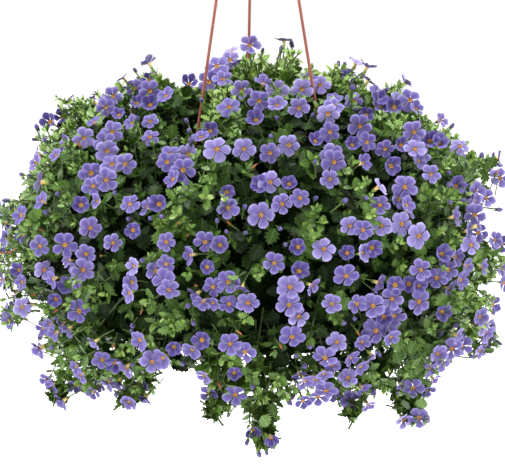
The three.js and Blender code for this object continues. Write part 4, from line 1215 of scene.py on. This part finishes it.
# Tufts of young leaves between the flowers
rng = np.random.default_rng(113)
azimuths, elevations = spread_sites(6000, TUFT_SPACING * MM, -36, 86, rng)
normals = ball_normal(azimuths, elevations)
for k in range(len(azimuths)):
    place = ball_point(azimuths[k], elevations[k], rng.uniform(0.99, 1.03))
    if flower_gap(place) < 14 * MM or hides_rod(place, 8):
        continue
    if not in_outline(place, 6) or hollow_share(place) > 0.5:
        continue
    turn = free_turn(normals[k] + 0.2 * UP + rng.uniform(-0.5, 0.5, 3))
    # Tufts near the edge the camera sees get a lighter tone: painted rim light
    put(leaf_batches, group_of(azimuths[k], elevations[k]), pick(TUFTS), turn, place, rng.uniform(0.7, 1.0),
        rng.uniform(-0.14, 0.18) + 0.16 * rim_light_share(place))


def put_front(spot, kind, tones=None):
    """What the photograph shows at a place, turned as it is there, with tones of its own if it has any."""
    azimuth, elevation = angles_of(spot)
    group = group_of(azimuth, elevation)
    normal = ball_normal(azimuth, elevation)
    sight = to_camera(spot)
    roll = np.array([rng.uniform(-0.35, 0.35)])
    jitter = rng.uniform(-1, 1, 3)
    outward = spot - BALL_CENTRE
    outward = unit(outward - np.dot(outward, sight) * sight)
    stands_off = plain_scale(spot) > OFF_BALL
    if kind == "tip":
        if flower_gap(spot) < 10 * MM and not stands_off:
            return
        grow = outward + 0.45 * sight if stands_off else normal + 0.3 * sight
        turn = facing_turns((grow + 0.4 * jitter)[None], roll * 9)[0]
        # Tips on the crown are painted lighter and those low on the skirt darker, as painted light and shade;
        # tips near the seen edge get painted rim light
        painted_light_by_height = 0.28 * (spot[2] > CROWN_Z) - 0.14 * (spot[2] < SKIRT_Z)
        put(leaf_batches, group, pick(TUFTS), turn, spot, rng.uniform(0.7, 1.1),
            rng.uniform(0.0, 0.22) + painted_light_by_height + 0.1 * rim_light_share(spot))
        return
    if kind == "leaf":
        hanging = spot[2] < HANGING_Z and 195 < azimuth % 360 < 350
        spot = spot + sight * (16 * MM if hanging else 0)
        along = -0.8 * UP + 0.5 * jitter
        turn = turn_to(along, 0.3 * normal + 0.8 * sight + 0.3 * rng.uniform(-1, 1, 3))
        size = rng.uniform(0.7, 1.0) + 0.05 * hanging
        # Painted light on the leaves below the skirt, which lie in the ball's shade, and painted shade in the
        # hollows
        put(leaf_batches, group, LOOSE_LEAF, turn, spot - unit(along) * 6 * MM, size,
            0.62 + 0.05 * (spot[2] < SKIRT_Z) - 0.4 * hollow_share(spot) + rng.uniform(-0.1, 0.1))
        return
    if kind == "open":
        facing = 0.4 * normal + 0.85 * sight + 0.36 * jitter
        form = pick(OPEN_FLOWERS)
    elif kind == "cup":
        facing = 0.4 * normal + 0.7 * sight + 0.25 * jitter
        form = pick(YOUNG_FLOWERS)
    elif kind == "side":
        facing = outward + rng.uniform(0.25, 0.95) * sight + 0.22 * jitter
        # Side flowers standing off the upper half get paler tones: painted light through petals seen from
        # behind
        if stands_off and spot[2] > SIDE_FLOWER_Z:
            facing = outward + rng.uniform(-0.25, 0.3) * sight + 0.25 * jitter
            tones = BACKLIT_PAINTED_TONES
        form = pick(HALF_FLOWERS)
    else:
        facing = normal + 0.5 * jitter
        form = pick(BUDS[:3] if kind == "bud" else SPENTS)
    turn = facing_turns(unit(facing)[None], roll)[0]
    size, tone, squash = flower_look(rng)
    size *= 0.9 if kind == "side" else 1.0
    if tones:
        tone = rng.uniform(*tones)
    put(bloom_batches, group, form, turn @ squash, spot, size, tone)


rng = np.random.default_rng(108)
for kind, (places, _) in FRONT_KINDS.items():
    for place, spot in zip(places, front[kind]):
        put_front(spot, kind, PALE_TONES if kind == "open" and place in PALE_PLACES else None)

# Stems that carry what stands off the ball
rng = np.random.default_rng(109)
loose_stems = {}
for spot in np.concatenate(list(front.values())):
    if plain_scale(spot) < 1.03:
        continue
    azimuth, elevation = angles_of(spot)
    foot = ball_point(azimuth, max(elevation, -33), 0.9)
    gaps = np.linalg.norm(SHOOT_POINTS - spot, axis=1)
    if gaps.min() < SHOOT_WIDTH * MM:
        foot = SHOOT_POINTS[gaps.argmin()]
    way = unit(spot - foot)
    sag = (0.10 * UP + 0.08 * rng.uniform(-1, 1, 3)) * np.linalg.norm(spot - foot)
    curve = [foot + t * (spot - 5 * MM * way - foot) + 4 * t * (1 - t) * sag for t in np.linspace(0, 1, 6)]
    loose_stems.setdefault(group_of(azimuth, elevation), []).append(curve)
    for t in (0.6, 0.85) if spot[2] > CROWN_Z else (0.35, 0.6, 0.85):
        turn = free_turn(way + rng.uniform(-0.5, 0.5, 3))
        place = foot + t * (spot - 5 * MM * way - foot)
        if not in_outline(place, -3.0):
            continue
        # Tufts on the crown get a lighter tone: painted light from above
        put(leaf_batches, group_of(azimuth, elevation), pick(TUFTS), turn, place, rng.uniform(0.8, 1.15),
            rng.uniform(-0.1, 0.1) + 0.3 * (spot[2] > CROWN_Z))


def put_flower(spot, group, outward, young_share=0.14):
    radial = unit((spot - BALL_CENTRE) * np.array([1.0, 1.0, 0.0]))
    facing = unit(0.55 * outward + 0.75 * radial + 0.12 * UP + rng.uniform(-0.42, 0.42, 3))
    turn = facing_turns(facing[None], np.array([rng.uniform(-0.4, 0.4)]))[0]
    kind = rng.uniform()
    form = pick(YOUNG_FLOWERS if kind < young_share else HALF_FLOWERS if kind < 0.38 else OPEN_FLOWERS)
    size, tone, squash = flower_look(rng)
    put(bloom_batches, group, form, turn @ squash, spot, size, tone)


rng = np.random.default_rng(110)
for spot, group in zip(flower_spots, flower_groups):
    azimuth, elevation = angles_of(spot)
    normal = ball_normal(azimuth, elevation)
    put_flower(spot, group, normal)
    for forms, chance in ((BUDS, 0.45), (SPENTS, 0.22)):
        if rng.uniform() < chance:
            place = spot + rng.uniform(-10, 10, 3) * MM - 4 * MM * normal
            if not in_outline(place, 12):
                continue
            turn = free_turn(normal + rng.uniform(-0.6, 0.6, 3))
            put(bloom_batches, group, pick(forms), turn, place, rng.uniform(0.85, 1.2),
                rng.uniform(-0.1, 0.2))

# Shoots that hang below the ball
rng = np.random.default_rng(111)
shoot_stems = {}
for azimuth, radius, height in SHOOTS:
    out = direction(azimuth, 0.0)
    group = group_of(azimuth, -20)
    curve = shoot_line(azimuth, radius, height, np.linspace(0, 1, 9))
    end = curve[-1]
    shoot_stems.setdefault(group, []).append(curve)
    for t, count in ((1.0, 2), (0.92, 3), (0.8, 4), (0.68, 4), (0.55, 4)):
        for _ in range(count):
            place = shoot_line(azimuth, radius, height, [t])[0]
            way = unit(end - curve[4]) + rng.uniform(-0.75, 0.75, 3) * (1.3 - t) + 0.35 * out
            turn = free_turn(way)
            place = place + unit(way) * rng.uniform(0, 10) * MM * (t < 1)
            if not in_outline(place, 4.0):
                continue
            # Tufts on the front shoots get a lighter tone: painted light against their own shade
            put(leaf_batches, group, pick(TUFTS), turn, place, rng.uniform(0.9, 1.35),
                rng.uniform(-0.12, 0.15) + 0.22 * (195 < azimuth < 350))
    if 195 < azimuth < 350:
        continue
    for _ in range(3):
        spot = end + (out * rng.uniform(1, 6) + UP * rng.uniform(0, 16) + rng.uniform(-6, 6, 3)) * MM
        put_flower(spot, group, out, 0.3)

# One piece of leaves and one of flowers in place of each two nodes of the CAD model
for row, count, *_ in ROWS:
    for i in range(count):
        group = f"{row}_{i + 1}"
        batches = [tuple(batch) for batch in leaf_batches[group].values()]
        for curve in shoot_stems.get(group, []) + loose_stems.get(group, []):
            form = Form()
            tube(form, curve, np.linspace(1.2, 0.6, len(curve)) * MM, 5, IN_STEM)
            batches.append(once(form.packed()))
        leaves = build(f"leaves_{group}", batches, GREENERY)
        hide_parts(f"leafy_stem_{group}")
        blooms = build(f"flowers_{group}", [tuple(batch) for batch in bloom_batches[group].values()], BLOOMS)
        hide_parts(f"bloom_spray_{group}")

# Inner stems, a near-black shell that the leaves stand out of: the mass of the inner stems, coloured
# near-black as painted shade
CORE_SHARE = 0.73  # of the ball's reach
CORE_ROUGHNESS = 0.02
CORE_TURNS = 72
CORE_ELEVATIONS = [-46, -39, -32, -26, -20, *range(-14, 83, 8)]
CORE_FOOT_RADIUS = 78
CORE_FOOT_Z = -500
RAGGED_BELOW = -20
rng = np.random.default_rng(112)
form = Form()
rings = [np.array([[CORE_FOOT_RADIUS * math.cos(a), CORE_FOOT_RADIUS * math.sin(a), CORE_FOOT_Z]
                   for a in round_angles(CORE_TURNS)]) * MM]
azimuth = np.arange(CORE_TURNS) * 360 / CORE_TURNS
for elevation in CORE_ELEVATIONS:
    dips = np.sin(np.radians(azimuth * 7)) + 0.7 * np.sin(np.radians(azimuth * 17))
    dips = dips + rng.uniform(-0.5, 0.5, CORE_TURNS)
    around = elevation + dips * max(0, RAGGED_BELOW - elevation) * 0.13
    shares = CORE_SHARE + rng.uniform(-CORE_ROUGHNESS, CORE_ROUGHNESS, CORE_TURNS)
    rings.append(ball_point(azimuth, around, shares))
corners = np.concatenate(rings + [ball_point(np.array([0.0]), np.array([89.9]), CORE_SHARE)])
top = len(corners) - 1
last = top - CORE_TURNS
faces = ring_faces(len(rings), CORE_TURNS)
faces += [(last + k, last + (k + 1) % CORE_TURNS, top) for k in range(CORE_TURNS)]
form.add(corners, faces, 0, 0.1)
painted_shade_shell = build("inner_stems_painted_shade", [once(form.packed())], [SHADE])

# Hook, rods, pot and compost in finer shapes

def polar(azimuth, radius, z):
    a = math.radians(azimuth)
    return np.array([radius * math.cos(a), radius * math.sin(a), z])


def lathe(form, profile, sides):
    """A turned surface from a profile of radius and height."""
    corners = [(r * math.cos(a), r * math.sin(a), z) for r, z in profile for a in round_angles(sides)]
    form.add(corners, ring_faces(len(profile), sides), 0, 0.5)


def rounded(profile, radius, steps=4):
    """A profile of radius and height with its inner corners rounded."""
    profile = [np.array(p, float) for p in profile]
    out = [profile[0]]
    for before, corner, after in zip(profile, profile[1:], profile[2:]):
        cut = min(radius, np.linalg.norm(before - corner) * 0.45, np.linalg.norm(after - corner) * 0.45)
        first, last = corner + cut * unit(before - corner), corner + cut * unit(after - corner)
        for t in np.linspace(0, 1, steps):
            out.append(bent(first, corner, last, t))
    out.append(profile[-1])
    return [tuple(p) for p in out]


def add_piece(form, name, node_name, material, smooth_angle=40):
    corners, faces, looks, values = form.packed()
    piece = build(name, [once((corners * MM, faces, looks, values))], [material])
    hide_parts(node_name)
    piece.data.set_sharp_from_angle(angle=math.radians(smooth_angle))
    return piece


def rod_reach(z):
    return EYE_RADIUS * (ROD_MEET_Z - z) / (ROD_MEET_Z - POT_TOP_Z - ROD_BEND_RISE)


for number, azimuth in enumerate(ROD_AZIMUTHS, 1):
    form = Form()
    bend_z = POT_TOP_Z + ROD_BEND_RISE
    foot_z = POT_TOP_Z - EYE_DROP - EYE_HEIGHT - SEAT_GAP
    line = [polar(azimuth, rod_reach(z), z) for z in np.linspace(ROD_TOP_Z, bend_z + 2, 12)]
    line += [polar(azimuth, EYE_RADIUS, z) for z in (bend_z - 1, foot_z)]
    tube(form, line, [ROD_RADIUS] * len(line), 14, 0)
    foot_base = foot_z - ROD_FOOT_HEIGHT
    foot_profile = [
        (ON_AXIS, foot_z), (ROD_FOOT_RADIUS, foot_z), (ROD_FOOT_RADIUS, foot_base), (ON_AXIS, foot_base)]
    foot = Form()
    lathe(foot, rounded(foot_profile, 0.5), 20)
    form.add_form(foot, np.eye(3), polar(azimuth, EYE_RADIUS, 0))
    add_piece(form, f"rod_{number}", f"hanger_arm_{number}", PLASTIC)

form = Form()
hook_radius = HOOK_INNER_RADIUS + HOOK_WIRE / 2
path = [(0, 0, -47.4), (0, 0, -38.6), (hook_radius * 0.12, 0, -34), (hook_radius * 0.42, 0, -29.5)]
for a in np.radians(HOOK_ARC):
    path.append((hook_radius * math.cos(a), 0, -HOOK_INNER_RADIUS + hook_radius * math.sin(a)))
tube(form, path, [HOOK_WIRE / 2] * len(path), 16, 0)
last = np.array(path[-1])
before = np.array(path[-2])
tube(form, [last, last + (last - before) * 0.2, last + (last - before) * 0.32],
     [HOOK_WIRE / 2, HOOK_WIRE / 2 * 0.75, 0.05], 16, 0)
collar = [
    (ON_AXIS, COLLAR_TOP_Z), (COLLAR_TOP_RADIUS, COLLAR_TOP_Z), (COLLAR_BOTTOM_RADIUS, COLLAR_SHOULDER_Z),
    (COLLAR_BOTTOM_RADIUS, COLLAR_BOTTOM_Z), (ON_AXIS, COLLAR_BOTTOM_Z)]
lathe(form, rounded(collar, 1.2), 48)
add_piece(form, "hook_and_collar", "hanger_hook", PLASTIC)


def inner_radius(z):
    share = (z - POT_BASE_Z - POT_WALL) / (POT_TOP_Z - POT_BASE_Z - POT_WALL)
    return POT_BASE_RADIUS - POT_WALL + share * (POT_MOUTH_RADIUS - POT_BASE_RADIUS + POT_WALL)


form = Form()
rim_foot = POT_TOP_Z - POT_RIM_DEPTH
plate_radius = POT_BASE_RADIUS - 3
pot_profile = [
    (plate_radius, POT_BASE_Z), (POT_BASE_RADIUS, POT_BASE_Z), (inner_radius(rim_foot) + POT_WALL, rim_foot),
    (POT_RIM_RADIUS, rim_foot), (POT_RIM_RADIUS, POT_TOP_Z), (POT_MOUTH_RADIUS, POT_TOP_Z),
    (POT_BASE_RADIUS - POT_WALL, POT_BASE_Z + POT_WALL), (plate_radius, POT_BASE_Z + POT_WALL)]
lathe(form, rounded(pot_profile, 1.6), 72)
drains = [polar(45 + 90 * k, DRAIN_RING_RADIUS, 0)[:2] for k in range(4)]
loops = [[polar(5 * k, plate_radius, 0)[:2] for k in range(72)]]
for d in drains:
    turns = -round_angles(DRAIN_SIDES)
    loops.append([d + DRAIN_HOLE_RADIUS * np.array([math.cos(a), math.sin(a)]) for a in turns])
flat, edges = [], []
for loop in loops:
    start = len(flat)
    flat += [Vector(tuple(p)) for p in loop]
    edges += [(start + k, start + (k + 1) % len(loop)) for k in range(len(loop))]
filled = delaunay_2d_cdt(flat, edges, [], 1, 1e-6)
plate = np.array([tuple(p) for p in filled[0]])
plate_faces = []
for face in filled[2]:
    middle = plate[list(face)].mean(axis=0)
    if all(np.linalg.norm(middle - d) > DRAIN_HOLE_RADIUS * 0.9 for d in drains):
        plate_faces.append(tuple(face))
for z in (POT_BASE_Z, POT_BASE_Z + POT_WALL):
    form.add(np.column_stack([plate, np.full(len(plate), z)]), plate_faces, 0, 0.5)
for d in drains:
    wall = Form()
    lathe(wall, [(DRAIN_HOLE_RADIUS, POT_BASE_Z), (DRAIN_HOLE_RADIUS, POT_BASE_Z + POT_WALL)], DRAIN_SIDES)
    form.add_form(wall, np.eye(3), np.array([d[0], d[1], 0]))
for azimuth in ROD_AZIMUTHS:
    eye = Form()
    z = POT_TOP_Z - EYE_DROP - EYE_HEIGHT
    lathe(eye, rounded([(2.0, z), (4.0, z), (4.0, z + EYE_HEIGHT), (2.0, z + EYE_HEIGHT), (2.0, z)], 0.5), 24)
    form.add_form(eye, np.eye(3), polar(azimuth, EYE_RADIUS, 0))
    stay_ends = [polar(azimuth, radius, z + 2) for radius in (EYE_RADIUS + 3.0, POT_MOUTH_RADIUS + 1)]
    tube(form, stay_ends, [2.0, 2.4], 10, 0)
add_piece(form, "nursery_pot", "pot", PLASTIC)

form = Form()
SOIL_TURNS = 72
soil_rim = inner_radius(SOIL_TOP_Z) - 0.2
soil_rows = np.linspace(0.0, soil_rim, 24)
corners = []
for i, r in enumerate(soil_rows):
    for a in round_angles(SOIL_TURNS):
        rise = rng.uniform(-1.4, 0.9) if 0 < i < len(soil_rows) - 1 else -SOIL_SLACK
        corners.append((r * math.cos(a), r * math.sin(a), SOIL_TOP_Z + rise))
form.add(corners, ring_faces(len(soil_rows), SOIL_TURNS, inward=True), 0, 0.5)
soil_base = POT_BASE_Z + POT_WALL + SEAT_GAP
lathe(form, [(soil_rim, SOIL_TOP_Z - SOIL_SLACK), (POT_BASE_RADIUS - POT_WALL - SEAT_GAP, soil_base),
             (ON_AXIS, soil_base)], SOIL_TURNS)
add_piece(form, "compost", "soil", COMPOST, 180)

# Stage, light and camera

def floor_material():
    material, tree, shader = new_material("pale_floor")
    cloud = noise(tree, 2.0, 3.0)
    colour = ramp(tree, cloud, [(0.0, (0.86, 0.86, 0.86)), (1.0, (0.90, 0.90, 0.90))])
    tree.links.new(colour, shader.inputs["Base Color"])
    tree.links.new(colour, shader.inputs["Emission Color"])
    shader.inputs["Emission Strength"].default_value = 0.70
    shader.inputs["Roughness"].default_value = 0.9
    return material


FLOOR_Z = -0.95
FLOOR_REACH = 30
mesh = bpy.data.meshes.new("floor")
floor_corners = [(x * FLOOR_REACH, y * FLOOR_REACH, FLOOR_Z) for x, y in ((-1, -1), (1, -1), (1, 1), (-1, 1))]
mesh.from_pydata(floor_corners, [], [(0, 1, 2, 3)])
mesh.materials.append(floor_material())
floor = bpy.data.objects.new("floor", mesh)
bpy.context.collection.objects.link(floor)

world = bpy.data.worlds.new("studio")
world.use_nodes = True
world.node_tree.nodes["Background"].inputs["Color"].default_value = (1.0, 1.0, 1.0, 1.0)
world.node_tree.nodes["Background"].inputs["Strength"].default_value = 0.42
bpy.context.scene.world = world
bpy.context.scene.view_settings.view_transform = "Standard"


def area_light(name, place, size, power):
    data = bpy.data.lights.new(name, "AREA")
    data.shape = "DISK"
    data.size = size
    data.energy = power
    lamp = bpy.data.objects.new(name, data)
    lamp.location = place
    lamp.rotation_mode = "QUATERNION"
    lamp.rotation_quaternion = (MIDDLE - Vector(place)).to_track_quat("-Z", "Y")
    bpy.context.collection.objects.link(lamp)


area_light("key", (-1.1, -1.3, 1.3), 0.5, 44)
area_light("low", (0.3, -1.7, -0.7), 1.0, 9)
area_light("fill", (1.4, -1.0, 0.3), 1.0, 8)
area_light("left", (-1.7, 0.3, 0.2), 0.6, 34)
area_light("right", (1.7, 0.3, 0.3), 0.6, 32)
area_light("top", (0.1, 0.4, 1.5), 0.8, 52)

camera_data = bpy.data.cameras.new("camera")
camera_data.sensor_width = SENSOR
camera_data.lens = LENS
camera = bpy.data.objects.new("camera", camera_data)
camera.location = MIDDLE + CAMERA_DISTANCE * Vector((0, -math.cos(CAMERA_TILT), math.sin(CAMERA_TILT)))
camera.rotation_mode = "QUATERNION"
camera.rotation_quaternion = (MIDDLE - camera.location).to_track_quat("-Z", "Y")
bpy.context.collection.objects.link(camera)
bpy.context.scene.camera = camera
